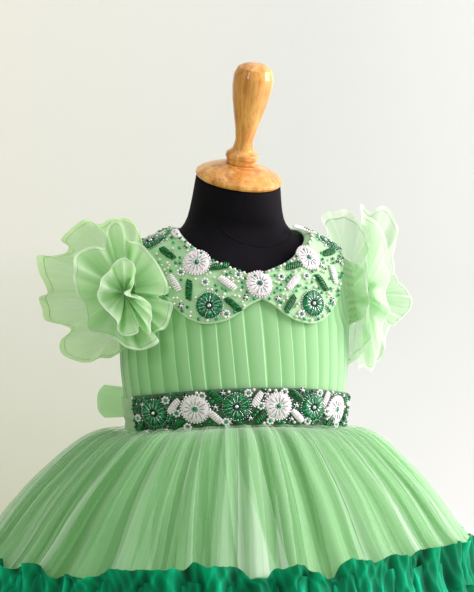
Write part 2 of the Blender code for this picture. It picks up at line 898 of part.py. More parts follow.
def unrolled(angles):
    """The same angles with no jump of a whole turn between neighbours."""
    made = [angles[0]]
    for angle in angles[1:]:
        made.append(made[-1] + (angle - made[-1] + math.pi) % (2 * math.pi) - math.pi)
    return made


def make_frill(label, side, frill):
    """One ring of frill round a sleeve, between where it is sewn on and its free edge."""
    name, root, columns = frill
    centre = SLEEVE_SIGHTS[label]
    points = [view_point(*(a + b for a, b in zip(row, centre))) for row in FRILL_EDGES[label][name]]
    edge = closed_curve(points, columns)
    middle = sum(edge, Vector()) / columns
    _, forward = facing(side, SLEEVE_MOUTHS[label][1])
    angles = unrolled([math.atan2(p.z - middle.z, (p - middle).dot(forward)) for p in edge])
    way = 1 if angles[-1] > angles[0] else -1
    even = [way * 2 * math.pi * j / columns for j in range(columns)]
    first = sum(a - b for a, b in zip(angles, even)) / columns
    start = [frill_root(label, side, first + turn, root) for turn in even]
    rows = [[a.lerp(b, along) for a, b in zip(start, edge)] for along in (0.0, 0.5, 1.0)]
    cloth_sheet(f"sleeve_frill_{name}_{label}", rows, NET_WALL, True, "mint_organza")


def make_sleeve(side, label):
    """One cap sleeve and its three rings of frill."""
    columns = 20
    turns = [2 * math.pi * j / columns for j in range(columns)]
    levels = (0.0, 0.45, 1.0)
    rows = [[sleeve_point(label, side, t, along) for t in turns] for along in levels]
    cloth_sheet(f"sleeve_cap_{label}", rows, NET_WALL, True, "mint_organza")
    for frill in SLEEVE_FRILLS[label]:
        make_frill(label, side, frill)


def knot_centre():
    """The middle of the bow's knot, which lies on the sash at the centre back."""
    sash_outside = torso_surface(180.0, BOW_HEIGHT).y + BELT_OFFSET + SASH_WALL
    return Vector((0.0, sash_outside + SEAM_GAP + KNOT_HALF_SIZE.y, BOW_HEIGHT))


def bow_knot():
    """The rounded knot of the bow."""
    mesh = bpy.data.meshes.new("bow_knot")
    work = bmesh.new()
    bmesh.ops.create_uvsphere(work, u_segments=12, v_segments=8, radius=1.0)
    bmesh.ops.scale(work, vec=KNOT_HALF_SIZE, verts=work.verts)
    work.to_mesh(mesh)
    work.free()
    mesh.materials.append(material_of("mint_organza"))
    mesh.shade_smooth()
    knot = bpy.data.objects.new("bow_knot", mesh)
    knot.location = knot_centre()
    dress_parts.objects.link(knot)


def bow_loop(name, side):
    """One loop of the bow: a band that runs out from the knot and comes back behind itself."""
    length, front, depth, half_band = 0.106, 0.0845, 0.022, 0.017
    columns = 13
    rows = []
    for across in (-1.0, -0.33, 0.33, 1.0):
        row = []
        for j in range(columns):
            along = 2 * j / (columns - 1) - 1
            reach = 0.5 * (1 + math.cos(math.pi * along))
            out = KNOT_HALF_SIZE.x + length * reach**0.8
            back = front + 0.5 * depth * (1 + 0.8 * math.sin(math.pi * along) + 0.25 * along)
            height = BOW_HEIGHT + 0.004 * reach
            half_width = half_band * (0.42 + 0.58 * reach**0.6)
            row.append(Vector((side * out, back, height + across * half_width)))
        rows.append(row)
    cloth_sheet(name, rows, NET_WALL, False, "mint_organza")


def bow_tail(name, side):
    """One tail of the bow, which hangs from the knot and lies over the skirt's back."""
    knot = knot_centre()
    rows = []
    for across in (-1.0, 0.0, 1.0):
        out = 0.0055 + 0.0040 * across
        below = KNOT_HALF_SIZE.z * math.sqrt(1 - (out / KNOT_HALF_SIZE.x) ** 2)
        start = knot + Vector((side * out, 0.0, -below - 2 * SEAM_GAP))
        row = [start]
        for step in range(7):
            along = 0.16 + 0.085 * step
            half_band = 0.006 + 0.012 * min(1.0, 2.2 * (along - 0.10))
            base = skirt_base(0.5 - side * (0.018 + 0.030 * along), along)
            lift = 0.0034 + 0.0088 * along**0.8 + 0.001 * math.sin(3 * step)
            row.append(base + Vector((side * across * half_band, 0.4 * lift, 0.9 * lift)))
        rows.append(row)
    cloth_sheet(name, rows, NET_WALL, False, "mint_organza")


def make_sash():
    """The sash from the side seams to the back, tied in a bow."""
    for name, side in (("sash_right", -1), ("sash_left", 1)):
        first, last = side * (BELT_HALF_ANGLE + 0.4), side * 179.8
        band_on_body(name, first, last, 0.0030, 0.0350, BELT_OFFSET, SASH_WALL, 15, "mint_organza")
    bow_knot()
    bow_loop("bow_loop_right", -1)
    bow_loop("bow_loop_left", 1)
    bow_tail("bow_tail_right", -1)
    bow_tail("bow_tail_left", 1)


for old in list(bpy.data.objects):
    bpy.data.objects.remove(old)
dress_parts = bpy.data.collections.new("party_dress_on_form")
bpy.context.scene.collection.children.link(dress_parts)

make_form()
make_bodice()
make_collar()
make_belt()
make_flowers()
make_skirt()
make_hem_frill()
make_sleeve(-1, "right")
make_sleeve(1, "left")
make_sash()
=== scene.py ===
import math

import bpy
import numpy as np
from mathutils import Matrix, Vector


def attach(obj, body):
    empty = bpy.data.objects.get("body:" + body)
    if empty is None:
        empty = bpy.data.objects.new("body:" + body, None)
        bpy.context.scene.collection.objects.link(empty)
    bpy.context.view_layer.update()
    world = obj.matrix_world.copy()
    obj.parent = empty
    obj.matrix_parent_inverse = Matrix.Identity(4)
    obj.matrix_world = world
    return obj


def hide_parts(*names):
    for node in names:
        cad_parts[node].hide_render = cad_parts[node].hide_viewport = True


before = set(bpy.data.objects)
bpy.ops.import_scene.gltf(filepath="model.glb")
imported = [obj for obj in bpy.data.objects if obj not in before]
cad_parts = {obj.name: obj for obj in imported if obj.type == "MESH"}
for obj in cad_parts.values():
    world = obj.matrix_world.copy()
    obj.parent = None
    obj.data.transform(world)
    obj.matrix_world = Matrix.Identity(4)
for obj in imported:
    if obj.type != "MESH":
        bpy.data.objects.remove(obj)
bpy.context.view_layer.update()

# Heights, offsets and tables that follow the part's source, in metres and degrees.
# Angles go round the body from the front centre, with 90 at the wearer's left.
WAIST_SIDE = 0.296
WAIST_FRONT_RISE = 0.009
HEM_HEIGHT = 0.175
ARMHOLE_HEIGHT = 0.435
ARMHOLE_HALF_ANGLE = 22.0
ARMHOLE_HALF_HEIGHT = 0.033
BOW_HEIGHT = 0.319
BODICE_OFFSET = 0.0028
BODICE_NECK_DROP = 0.0045
PLEAT_RELIEF = 0.0013
PLEATS_ACROSS = 21
COLLAR_ROOT_OFFSET = 0.0030
COLLAR_ROLL = 0.0030
COLLAR_OFFSET = 0.0074
COLLAR_TURN = 2.0
BELT_OFFSET = 0.0069
BELT_LIFT = 0.0016
BELT_WIDTH = 0.036
BELT_HALF_ANGLE = 76.0
SASH_OFFSET = 0.0062
SKIRT_FOLDS = 36
SKIRT_HEM_RADIUS = 0.244
SKIRT_HEM_SHIFT = (-0.011, 0.0035)
SKIRT_HEM_SIDE_RISE = 0.005
HEM_FLUTES = 42
SECTION_SQUARENESS = 2.2
CAP_TILT = 20.0
CAP_SIDE_LEAN = 3.0
KNOT_HALF_SIZE = (0.014, 0.010, 0.0185)

# Torso sections: height, half width, half depth
TORSO_SECTIONS = (
    (0.196, 0.070, 0.056), (0.206, 0.090, 0.067), (0.235, 0.102, 0.075), (0.265, 0.105, 0.077),
    (0.296, 0.104, 0.074), (0.330, 0.108, 0.0733), (0.365, 0.112, 0.073), (0.400, 0.113, 0.072),
    (0.430, 0.112, 0.068), (0.450, 0.110, 0.061), (0.463, 0.107, 0.055), (0.473, 0.102, 0.050),
    (0.481, 0.090, 0.047), (0.487, 0.077, 0.046), (0.493, 0.064, 0.0455), (0.500, 0.054, 0.0450),
)
# Neck rings: height, radius, shift to the front, tilt
NECK_SECTIONS = (
    (0.508, 0.0480, 0.002, 2.0), (0.524, 0.0450, 0.006, 10.0), (0.546, 0.0425, 0.012, 20.0),
)
NECKLINE = (
    (0, 0.4500), (18, 0.4635), (30, 0.4760), (42, 0.4835), (60, 0.4900), (90, 0.4950), (180, 0.5000),
)
COLLAR_EDGE = (
    (0, 0.4280), (5, 0.4220), (10, 0.4140), (17, 0.4070), (25, 0.4045), (33, 0.4085), (42, 0.4205),
    (48, 0.4330), (54, 0.4480), (62, 0.4620), (72, 0.4710), (90, 0.4760), (108, 0.4710), (118, 0.4620),
    (126, 0.4480), (132, 0.4330), (138, 0.4205), (147, 0.4095), (155, 0.4060), (163, 0.4090),
    (172, 0.4190), (180, 0.4300),
)
# The skirt's side curve: share of its length, share of its spread, share of its drop
SKIRT_CURVE = (
    (0.00, 0.00, 0.000), (0.09, 0.12, 0.017), (0.19, 0.25, 0.070), (0.31, 0.38, 0.180),
    (0.43, 0.50, 0.310), (0.56, 0.62, 0.450), (0.70, 0.74, 0.620), (0.84, 0.86, 0.810),
    (1.00, 1.00, 1.000),
)
# Bead flowers: node, angle, height, radius, colour
FLOWERS = (
    ("flower_front_centre", 1.5, 0.4400, 0.0130, "white"),
    ("flower_front_right_low", -21.5, 0.4205, 0.0130, "green"),
    ("flower_front_left_low", 28.5, 0.4225, 0.0130, "green"),
    ("flower_front_right_high", -27.5, 0.4600, 0.0130, "white"),
    ("flower_front_left_high", 30.5, 0.4650, 0.0125, "white"),
    ("flower_shoulder_right", -67.0, 0.4780, 0.0115, "green"),
    ("flower_shoulder_left", 66.0, 0.4780, 0.0115, "green"),
)
BELT_FLOWERS = (
    (-56.0, "green"),
    (-30.5, "white"),
    (-9.5, "green"),
    (9.0, "white"),
    (29.5, "green"),
    (49.5, "white"),
)
BELT_FLOWER_RADIUS = 0.0138
# Sleeve mouths: centre as out, forward and up, way it faces, radius across and up
SLEEVE_MOUTHS = {
    "right": ((0.126, 0.052, 0.434), 62.0, 0.012, 0.018),
    "left": ((0.138, 0.012, 0.434), 20.0, 0.014, 0.019),
}
# Sleeve frills: name, share of the sleeve where it is sewn on, way it faces
SLEEVE_FRILLS = {
    "right": (("inner", 0.12, 60.0), ("middle", 0.50, 67.0), ("outer", 1.00, 75.0)),
    "left": (("inner", 0.20, 16.0), ("middle", 0.60, 18.0), ("outer", 1.00, 22.0)),
}
# How the two upper frills' gathers run into the sleeve's mouth: how narrow, and how deep in metres
FUNNELS = {"middle": (0.45, -0.002), "outer": (0.04, 0.018)}
# Each sleeve's mouth in the camera's view, in millimetres: across, up, toward the camera
SLEEVE_SIGHTS = {"right": (-110, 5, 85), "left": (117, 4, -20)}
# The frills' free edges from those places: across, up, toward the camera
FRILL_EDGES = {
    "right": {
        "inner": (
            (16, 53, -18), (9, 69, -14), (-4, 73, -6), (-15, 72, -16), (-27, 67, -24), (-41, 72, -18),
            (-55, 61, -12), (-64, 51, -14), (-57, 46, -24), (-60, 38, -28), (-74, 35, -20),
            (-88, 35, -12), (-86, 19, -10), (-77, -2, -18), (-86, -7, -22), (-83, -19, -14),
            (-80, -29, -10), (-65, -33, -16), (-54, -39, -26), (-64, -49, -20), (-65, -59, -12),
            (-58, -66, -10), (-39, -72, -14), (-25, -67, -22), (-12, -66, -20), (6, -50, -14),
            (18, -28, -14), (22, 0, -16), (20, 30, -18),
        ),
        "middle": (
            (44, -1, 4), (33, -6, -2), (48, -13, 8), (45, -27, 10), (41, -37, 10), (30, -42, 2),
            (34, -51, 12), (25, -57, 16), (5, -58, 18), (-13, -47, 14), (-37, -39, 8), (-40, -27, 0),
            (-41, -14, -4), (-49, -1, 2), (-52, 19, 8), (-49, 36, 8), (-33, 45, 2), (-20, 44, -4),
            (-19, 57, 2), (-12, 71, 4), (-5, 69, 2), (3, 51, -8), (16, 48, -6), (30, 32, 0),
            (40, 14, 8),
        ),
        "outer": (
            (-27, -5, 28), (-24, 11, 30), (-15, 21, 30), (-8, 30, 28), (0, 34, 26), (8, 28, 22),
            (10, 19, 20), (8, 6, 22), (7, -4, 26), (15, -9, 25), (25, -13, 20), (27, -26, 22),
            (25, -42, 20), (18, -39, 14), (14, -35, 20), (13, -42, 27), (3, -45, 28), (-7, -39, 26),
            (-9, -29, 28), (-19, -19, 28),
        ),
    },
    "left": {
        "inner": (
            (-31, 73, -15), (-26, 80, -9), (-16, 81, -6), (-8, 83, -2), (-3, 81, 4), (5, 73, 11),
            (15, 64, 16), (18, 51, 22), (16, 40, 28), (15, 29, 34), (17, 16, 38), (16, -4, 42),
            (18, -22, 40), (16, -34, 34), (20, -48, 28), (13, -57, 20), (7, -66, 12), (-6, -73, 2),
            (-11, -71, -8), (-6, -60, -20), (-4, -40, -34), (-4, -15, -48), (-5, 10, -50),
            (-10, 35, -40), (-24, 61, -27),
        ),
        "middle": (
            (18, 80, -5), (11, 87, -1), (8, 87, 4), (13, 79, 9), (22, 72, 14), (29, 63, 20),
            (35, 51, 25), (36, 40, 30), (29, 33, 36), (35, 24, 42), (38, 13, 44), (34, -2, 46),
            (38, -18, 42), (32, -30, 38), (30, -48, 32), (26, -62, 22), (20, -79, 8), (13, -75, 1),
            (6, -77, -6), (16, -73, -14), (28, -70, -16), (33, -58, -18), (34, -46, -24),
            (38, -34, -30), (46, -24, -36), (44, -8, -40), (42, 10, -42), (43, 24, -40), (42, 38, -34),
            (45, 56, -26), (45, 68, -20), (40, 80, -14), (33, 86, -10), (26, 85, -6),
        ),
        "outer": (
            (47, 10, -12), (54, 4, -5), (60, -6, 2), (60, -15, 8), (54, -23, 13), (46, -31, 15),
            (38, -33, 19), (32, -23, 24), (30, -8, 26), (31, 6, 22), (36, 17, 13), (43, 18, 0),
        ),
    },
}
KNOB_PROFILE = (
    (0.0000, 0.1017), (0.0090, 0.1009), (0.0165, 0.0970), (0.0197, 0.0890), (0.0196, 0.0770),
    (0.0175, 0.0630), (0.0142, 0.0490), (0.0107, 0.0350), (0.0088, 0.0230), (0.0105, 0.0145),
    (0.0158, 0.0102), (0.0166, 0.0065), (0.0150, 0.0040), (0.0150, 0.0000), (0.0000, 0.0000),
)
CAP_PROFILE = (
    (0.0000, 0.0190), (0.0165, 0.0175), (0.0300, 0.0130), (0.0400, 0.0082), (0.0432, 0.0055),
    (0.0436, 0.0030), (0.0420, 0.0006), (0.0400, 0.0000), (0.0000, 0.0000),
)
POST_PROFILE = ((0.0, 0.1775), (0.013, 0.1775), (0.014, 0.1765), (0.014, 0.0), (0.0, 0.0))
BASE_PROFILE = (
    (0.0000, 0.0180), (0.1100, 0.0180), (0.1240, 0.0150), (0.1300, 0.0090), (0.1300, 0.0040),
    (0.1270, 0.0000), (0.0000, 0.0000),
)

# The camera: level, turned round the object, one millimetre to a pixel at the torso
VIEW_TURN = math.radians(16.0)
VIEW_RIGHT = np.array([math.cos(VIEW_TURN), -math.sin(VIEW_TURN), 0.0])
VIEW_TOWARD = np.array([-math.sin(VIEW_TURN), -math.cos(VIEW_TURN), 0.0])
VIEW_DISTANCE = 2.2
VIEW_HEIGHT = 0.431
VIEW_HALF_HEIGHT = 0.296
AXIS_SHIFT = 0.002

# Places on the collar, in millimetres in the camera's view: across from the torso's middle
# line, up from the camera's height, lean of the upper end to the right in degrees
WHITE_BARS = (
    (-59, 56, -50), (-61, 11, -32), (-8, 10, -50), (65, 61, -35), (58, 11, 46), (98, 19, -5),
)
GREEN_BARS = (
    (-68, 39, -53), (-16, 26, 82), (-46, 4, 4), (-2, -10, -47), (59, 27, 75), (94, 40, 78),
    (86, 11, -29), (55, -9, 37),
)
SMALL_FLOWERS = ((3, 18), (-30, 11), (-9, -19), (46, 16), (66, -19), (71, 17), (-54, 21))
RHINESTONES = ((-54, -11), (11, -3), (43, -4), (97, -5), (104, 32), (86, 28), (-48, 46))
# Places on the belt, the same way
BELT_WHITE_BARS = (
    (-61, -110, 40), (-20, -121, -45), (22, -103, 35), (62, -120, -45), (90, -103, 25),
)
BELT_GREEN_BARS = (
    (-94, -132, 40), (-57, -129, 45), (-20, -100, -50), (27, -120, 35), (61, -99, -50), (94, -125, 35),
)
BELT_SMALL_FLOWERS = (
    (-96, -121), (-69, -104), (-58, -117), (-47, -131), (-33, -100), (-9, -126), (13, -97), (26, -110),
    (35, -125), (49, -96), (72, -125), (84, -97), (91, -115), (100, -128),
)
BELT_RHINESTONES = (
    (-92, -108), (-49, -101), (-12, -97), (-20, -111), (-3, -123), (15, -122), (32, -98), (56, -123),
    (61, -109), (67, -94), (-87, -136), (-68, -134),
)

# How far beads lie off the cloth
BEAD_GAP = 0.0001
random = np.random.RandomState(7)


# Forms, the same sums as in the part's source


def curve(table, x, column=1):
    """Smooth values read from a table whose first column rises, with no overshoot."""
    xs = np.array([row[0] for row in table], float)
    ys = np.array([row[column] for row in table], float)
    x = np.clip(np.asarray(x, float), xs[0], xs[-1])
    k = np.clip(np.searchsorted(xs, x, side="right") - 1, 0, len(xs) - 2)
    width = np.diff(xs)
    rise = np.diff(ys) / width
    slope = np.concatenate([rise[:1], np.zeros(len(xs) - 2), rise[-1:]])
    before, after = rise[:-1], rise[1:]
    same = before * after > 0
    slope[1:-1][same] = 2 * (before * after)[same] / (before + after)[same]
    t = (x - xs[k]) / width[k]
    start, end = slope[k] * width[k], slope[k + 1] * width[k]
    return (
        ys[k] * (1 + 2 * t) * (1 - t) ** 2
        + start * t * (1 - t) ** 2
        + ys[k + 1] * t * t * (3 - 2 * t)
        + end * t * t * (t - 1)
    )


def unit(vectors):
    return vectors / np.linalg.norm(vectors, axis=-1, keepdims=True)


def torso(angle, height):
    """Points on the torso by angle in degrees and height."""
    turn = np.radians(angle)
    power = 2 / SECTION_SQUARENESS
    across = np.sign(np.sin(turn)) * np.abs(np.sin(turn)) ** power
    forward = np.sign(np.cos(turn)) * np.abs(np.cos(turn)) ** power
    half_width, half_depth = curve(TORSO_SECTIONS, height, 1), curve(TORSO_SECTIONS, height, 2)
    return np.stack([across * half_width, -forward * half_depth, height + 0.0 * turn], -1)


def body_frame(angle, height):
    """Points on the torso, with the directions round it, up it and out of it."""
    angle, height = np.broadcast_arrays(np.asarray(angle, float), np.asarray(height, float))
    turn, rise = 0.6, 0.0012
    along = unit(torso(angle + turn, height) - torso(angle - turn, height))
    up = torso(angle, height + rise) - torso(angle, height - rise)
    out = unit(np.cross(along, up))
    return torso(angle, height), along, np.cross(out, along), out


def body(angle, height, offset=0.0):
    """Points at that distance outside the torso."""
    point, _, _, out = body_frame(angle, height)
    return point + out * np.asarray(offset, float)[..., None]


def moved(angle, height, across, up):
    """The angle and height of a place that lies so far across and up from another."""
    turn, rise = 0.5, 0.001
    step = torso(angle + turn, height) - torso(angle - turn, height)
    lift = torso(angle, height + rise) - torso(angle, height - rise)
    per_degree = np.linalg.norm(step, axis=-1) / (2 * turn)
    per_metre = np.linalg.norm(lift, axis=-1) / (2 * rise)
    return angle + across / per_degree, height + up / per_metre


def even_angle(share):
    flat = np.asarray(share, float) * 360.0
    return flat - 6.0 * np.sin(np.radians(2 * flat))


def waist_height(angle):
    lift = np.maximum(0.0, np.cos(np.radians(angle)))
    return WAIST_SIDE + WAIST_FRONT_RISE * lift**2


def wrapped(angle):
    return (np.asarray(angle, float) + 180.0) % 360.0 - 180.0


def neckline_height(angle):
    return curve(NECKLINE, np.abs(wrapped(angle)))


def seen_at(across, up, offset):
    """The angle and height of the place on the body that the camera sees there, in metres."""
    angles = np.linspace(-95.0, 90.0, 741)
    depth = 0.06
    for _ in range(6):
        scale = VIEW_DISTANCE / (VIEW_DISTANCE - depth)
        height = VIEW_HEIGHT + up / scale
        points = body(angles, height, offset)
        angle = float(np.interp(across / scale, points @ VIEW_RIGHT, angles))
        depth = float(np.interp(angle, angles, points @ VIEW_TOWARD))
    return angle, height


def step_up(low, high, value):
    """A soft step from 0 at low to 1 at high."""
    share = np.clip((value - low) / (high - low), 0.0, 1.0)
    return share * share * (3 - 2 * share)


def ripple(x, seed, scale, octaves):
    """Smooth uneven waves along one or two coordinates, from about -1 to 1."""
    made = np.random.RandomState(seed)
    total = 0.0
    for k in range(octaves):
        turn, slant = made.uniform(0, 2 * math.pi), made.uniform(-0.6, 0.6)
        wide = scale * 1.9**k
        first = np.sin(2 * math.pi * wide * x[0] + turn + 2.0 * np.sin(slant * wide * x[1]))
        second = np.sin(2 * math.pi * wide * 0.618 * x[0] + 2.3 * turn + slant * x[1])
        total = total + (first + 0.7 * second) * 0.62**k
    return total / 2.4


# Building meshes


def place(made, slot, replaced=(), materials=()):
    """Puts a new piece on the body with its materials, and hides the solids that it stands for. slot is not
    used.
    """
    for material in materials:
        made.data.materials.append(material)
    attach(made, "root")
    if replaced:
        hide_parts(*replaced)
    return made


def new_object(name, points, faces, edges=()):
    """A new object in the scene, from points and faces or from points and edges."""
    mesh = bpy.data.meshes.new(name)
    mesh.from_pydata(points, edges, faces)
    mesh.shade_smooth()
    made = bpy.data.objects.new(name, mesh)
    bpy.context.scene.collection.objects.link(made)
    return made


def mesh_piece(name, points, faces, slot, materials, replaced=(), uv=None, index=None):
    """A piece from points and faces, with its texture coordinates per face corner."""
    made = new_object(name, np.asarray(points).tolist(), np.asarray(faces).tolist())
    if uv is not None:
        layer = made.data.uv_layers.new(name="cloth")
        layer.data.foreach_set("uv", np.asarray(uv, np.float32).ravel())
    place(made, slot, replaced, materials)
    if index is not None:
        made.data.polygons.foreach_set("material_index", index)
    made.data.update()
    return made


def grid_faces(rows, columns, closed):
    """Quads over a grid, and the row and column of each corner before wrapping."""
    count = columns if closed else columns - 1
    i, j = np.meshgrid(np.arange(rows - 1), np.arange(count), indexing="ij")
    i, j = i.ravel(), j.ravel()
    corner_rows = np.stack([i, i, i + 1, i + 1], 1)
    corner_columns = np.stack([j, j + 1, j + 1, j], 1)
    return corner_rows * columns + corner_columns % columns, corner_rows, corner_columns


def cloth(name, grid, slot, material, replaced=(), closed=False, across=1.0, down=None, fold=None, tone=0.5):
    """A sheet of cloth from a grid of points. Its texture runs across metres round and down metres.

    down gives each row's distance from the free edge. fold is the thickness, for thicker cloth.
    tone, from 0 to 1, is painted shade and light for the materials: low in the troughs of folds and
    in shade, high on ridges and lit edges. Nets also hide more where it is high.
    """
    rows, columns = grid.shape[:2]
    faces, corner_rows, corner_columns = grid_faces(rows, columns, closed)
    if down is None:
        down = np.linspace(1.0, 0.0, rows)
    u = corner_columns / (columns if closed else columns - 1) * across
    v = np.asarray(down)[corner_rows]
    uv = np.stack([u, v], -1)
    made = mesh_piece(name, grid.reshape(-1, 3), faces, slot, [material], replaced, uv=uv)
    tones = made.data.attributes.new("tone", "FLOAT", "POINT")
    tones.data.foreach_set("value", np.broadcast_to(tone, (rows, columns)).astype(np.float32).ravel())
    if fold:
        wall = made.modifiers.new("wall", "SOLIDIFY")
        wall.thickness = fold
        wall.offset = -1.0
    return made


def cut_of(grid, closed=False):
    """The width of a grid's widest row and the mean length of its columns."""
    wide = np.concatenate([grid, grid[:, :1]], 1) if closed else grid
    widths = np.linalg.norm(np.diff(wide, axis=1), axis=-1).sum(1)
    lengths = np.linalg.norm(np.diff(grid, axis=0), axis=-1).sum(0)
    return float(widths.max()), float(lengths.mean())


def ball(sides=8, rings=5):
    """Points and faces of a unit ball."""
    points, faces = [(0, 0, 1)], []
    for i in range(1, rings):
        level = math.pi * i / rings
        for j in range(sides):
            turn = 2 * math.pi * j / sides
            flat = math.sin(level)
            points.append((flat * math.cos(turn), flat * math.sin(turn), math.cos(level)))
    points.append((0, 0, -1))
    last = len(points) - 1
    for j in range(sides):
        right = (j + 1) % sides
        faces.append((0, 1 + j, 1 + right))
        faces.append((last, last - sides + right, last - sides + j))
        for i in range(rings - 2):
            a, b = 1 + i * sides, 1 + (i + 1) * sides
            faces.append((a + j, b + j, b + right))
            faces.append((a + j, b + right, a + right))
    return np.array(points, float), np.array(faces)


def band_faces(rings, sides):
    """Triangles between rings of points that follow each other."""
    faces = []
    for i in range(rings - 1):
        for j in range(sides):
            a, b = i * sides + j, i * sides + (j + 1) % sides
            faces += [(a, b, b + sides), (a, b + sides, a + sides)]
    return faces


def tube():
    """Points and faces of a bugle bead, one unit long along X and one unit in radius."""
    sides = 6
    profile = ((-0.5, 0.55), (-0.45, 1.0), (0.45, 1.0), (0.5, 0.55))
    points = []
    for x, radius in profile:
        for j in range(sides):
            turn = 2 * math.pi * j / sides
            points.append((x, radius * math.cos(turn), radius * math.sin(turn)))
    faces = band_faces(len(profile), sides)
    for start, flip in ((0, True), ((len(profile) - 1) * sides, False)):
        for j in range(1, sides - 1):
            face = (start, start + j, start + j + 1)
            faces.append(face[::-1] if flip else face)
    return np.array(points, float), np.array(faces)


def gem():
    """Points and faces of a cut stone: a flat top, a slanted crown and a flat underside."""
    sides = 8
    profile = ((1.0, 0.0), (1.0, 0.35), (0.55, 0.8))
    points = []
    for radius, height in profile:
        for j in range(sides):
            turn = 2 * math.pi * j / sides
            points.append((radius * math.cos(turn), radius * math.sin(turn), height))
    faces = band_faces(len(profile), sides)
    for j in range(1, sides - 1):
        faces.append((2 * sides, 2 * sides + j, 2 * sides + j + 1))
        faces.append((0, j + 1, j))
    return np.array(points, float), np.array(faces)


BALL, TUBE, GEM = ball(), tube(), gem()


class Beads:
    """Gathers beads of several kinds, and makes one mesh of them."""

    def __init__(self):
        self.points, self.faces, self.index, self.count = [], [], [], 0

    def add(self, template, where, x_way, y_way, z_way, size, slot):
        """Adds a bead, with its own directions and sizes along them."""
        points, faces = template
        size = np.broadcast_to(size, 3)
        placed = where
        for axis, way in enumerate((x_way, y_way, z_way)):
            placed = placed + (points[:, axis] * size[axis])[:, None] * way
        self.points.append(placed)
        self.faces.append(faces + self.count)
        self.index += [slot] * len(faces)
        self.count += len(points)

    def make(self, name, slot, materials, replaced=()):
        points, faces = np.concatenate(self.points), np.concatenate(self.faces)
        return mesh_piece(name, points, faces, slot, materials, replaced, index=self.index)


# Materials


def node(tree, kind, values=None, **settings):
    """A shader node. values are its inputs, as numbers or as the sockets that feed them."""
    made = tree.nodes.new(kind)
    for key, value in settings.items():
        setattr(made, key, value)
    for key, value in (values or {}).items():
        if isinstance(value, bpy.types.NodeSocket):
            tree.links.new(value, made.inputs[key])
        else:
            made.inputs[key].default_value = value
    return made


def new_material(name):
    made = bpy.data.materials.new(name)
    made.use_nodes = True
    made.node_tree.nodes.clear()
    return made, made.node_tree


def math_node(tree, operation, first, second=0.0):
    return node(tree, "ShaderNodeMath", {0: first, 1: second}, operation=operation).outputs[0]


def moved_range(tree, value, low, high, start=0.0, end=1.0):
    """A value moved from one range to another, and held inside it."""
    values = {"Value": value, "From Min": low, "From Max": high, "To Min": start, "To Max": end}
    return node(tree, "ShaderNodeMapRange", values).outputs["Result"]


def texture_place(tree, kind="Object", **mapping):
    """Where a point lies in its piece or, with UV, on its cloth: scaled, shifted or turned."""
    made = node(tree, "ShaderNodeTexCoord").outputs[kind]
    if mapping:
        made = node(tree, "ShaderNodeMapping", {"Vector": made, **mapping}).outputs["Vector"]
    return made


def noise(tree, vector, scale, detail, distortion=0.0):
    values = {"Vector": vector, "Scale": scale, "Detail": detail, "Distortion": distortion}
    return node(tree, "ShaderNodeTexNoise", values).outputs["Fac"]


def bump(tree, height, strength, distance):
    values = {"Height": height, "Strength": strength, "Distance": distance}
    return node(tree, "ShaderNodeBump", values).outputs["Normal"]


def ramp(tree, value, *stops):
    """A colour ramp from (position, colour) pairs."""
    made = node(tree, "ShaderNodeValToRGB", {"Fac": value})
    elements = made.color_ramp.elements
    while len(elements) < len(stops):
        elements.new(0.5)
    for element, (position, colour) in zip(elements, stops):
        element.position = position
        element.color = (*colour, 1.0)
    return made.outputs["Color"]


def streaks(tree, across, down, detail, distortion, seed=0.0):
    """Noise that is drawn out down the cloth, so many waves to a metre each way."""
    drawn = texture_place(tree, "UV", Scale=(across, down, 1.0), Location=(seed, seed, 0.0))
    return noise(tree, drawn, 1.0, detail, distortion)


def set_surface(made, tree, surface):
    node(tree, "ShaderNodeOutputMaterial", {"Surface": surface})
    return made


def shiny(tree, values):
    return node(tree, "ShaderNodeBsdfPrincipled", values).outputs[0]


def cloth_surface(tree, colour, through, values):
    """A soft surface that lets a share of the light through."""
    surface = shiny(tree, {"Base Color": colour, "Specular IOR Level": 0.15, **values})
    lit = node(tree, "ShaderNodeBsdfTranslucent", {"Color": colour}).outputs[0]
    return node(tree, "ShaderNodeMixShader", {0: through, 1: surface, 2: lit}).outputs[0]


def net_material(name, shades, covers, across, through=0.35, grain=0.3, seed=0.0, band=None, sheen=1.0):
    """Net or organza: it lets light and sight through, more where it lies in one layer.

    shades run from painted shade in the troughs to painted light on the ridges, and covers say how
    much it hides there. grain is the part of that which follows fine streaks. band is the width of a
    doubled hem and its brightness.
    """
    made, tree = new_material(name)
    wide = math_node(tree, "MULTIPLY", streaks(tree, across, 2.2, 2.0, 0.3, seed), 0.6 * grain)
    fine_streaks = streaks(tree, across * 5.5, 4.0, 2.0, 0.2, seed + 3.0)
    fine = math_node(tree, "MULTIPLY", fine_streaks, 0.4 * grain)
    # The tone attribute carries painted shade in the troughs and painted light on the ridges; on the skirt
    # it also holds how thick the net lies.
    painted_shade_and_thickness = node(tree, "ShaderNodeAttribute", attribute_name="tone").outputs["Fac"]
    height = math_node(tree, "MULTIPLY", painted_shade_and_thickness, 1.0 - grain)
    both = math_node(tree, "ADD", math_node(tree, "ADD", wide, fine), height)
    # The first shade is painted shade in the troughs, the last is painted light on the ridges.
    trough, ridge = 0.16, 0.84
    colour = ramp(tree, both, *zip(np.linspace(trough, ridge, len(shades)).tolist(), shades))
    cover = moved_range(tree, both, trough, ridge, *covers)
    if band:
        colour, cover = hem_band(tree, colour, cover, shades, *band)
    body_mix = cloth_surface(tree, colour, through, {"Roughness": 0.7, "Sheen Weight": sheen})
    clear = node(tree, "ShaderNodeBsdfTransparent").outputs[0]
    whole = node(tree, "ShaderNodeMixShader", {0: cover, 1: clear, 2: body_mix}).outputs[0]
    return set_surface(made, tree, whole)


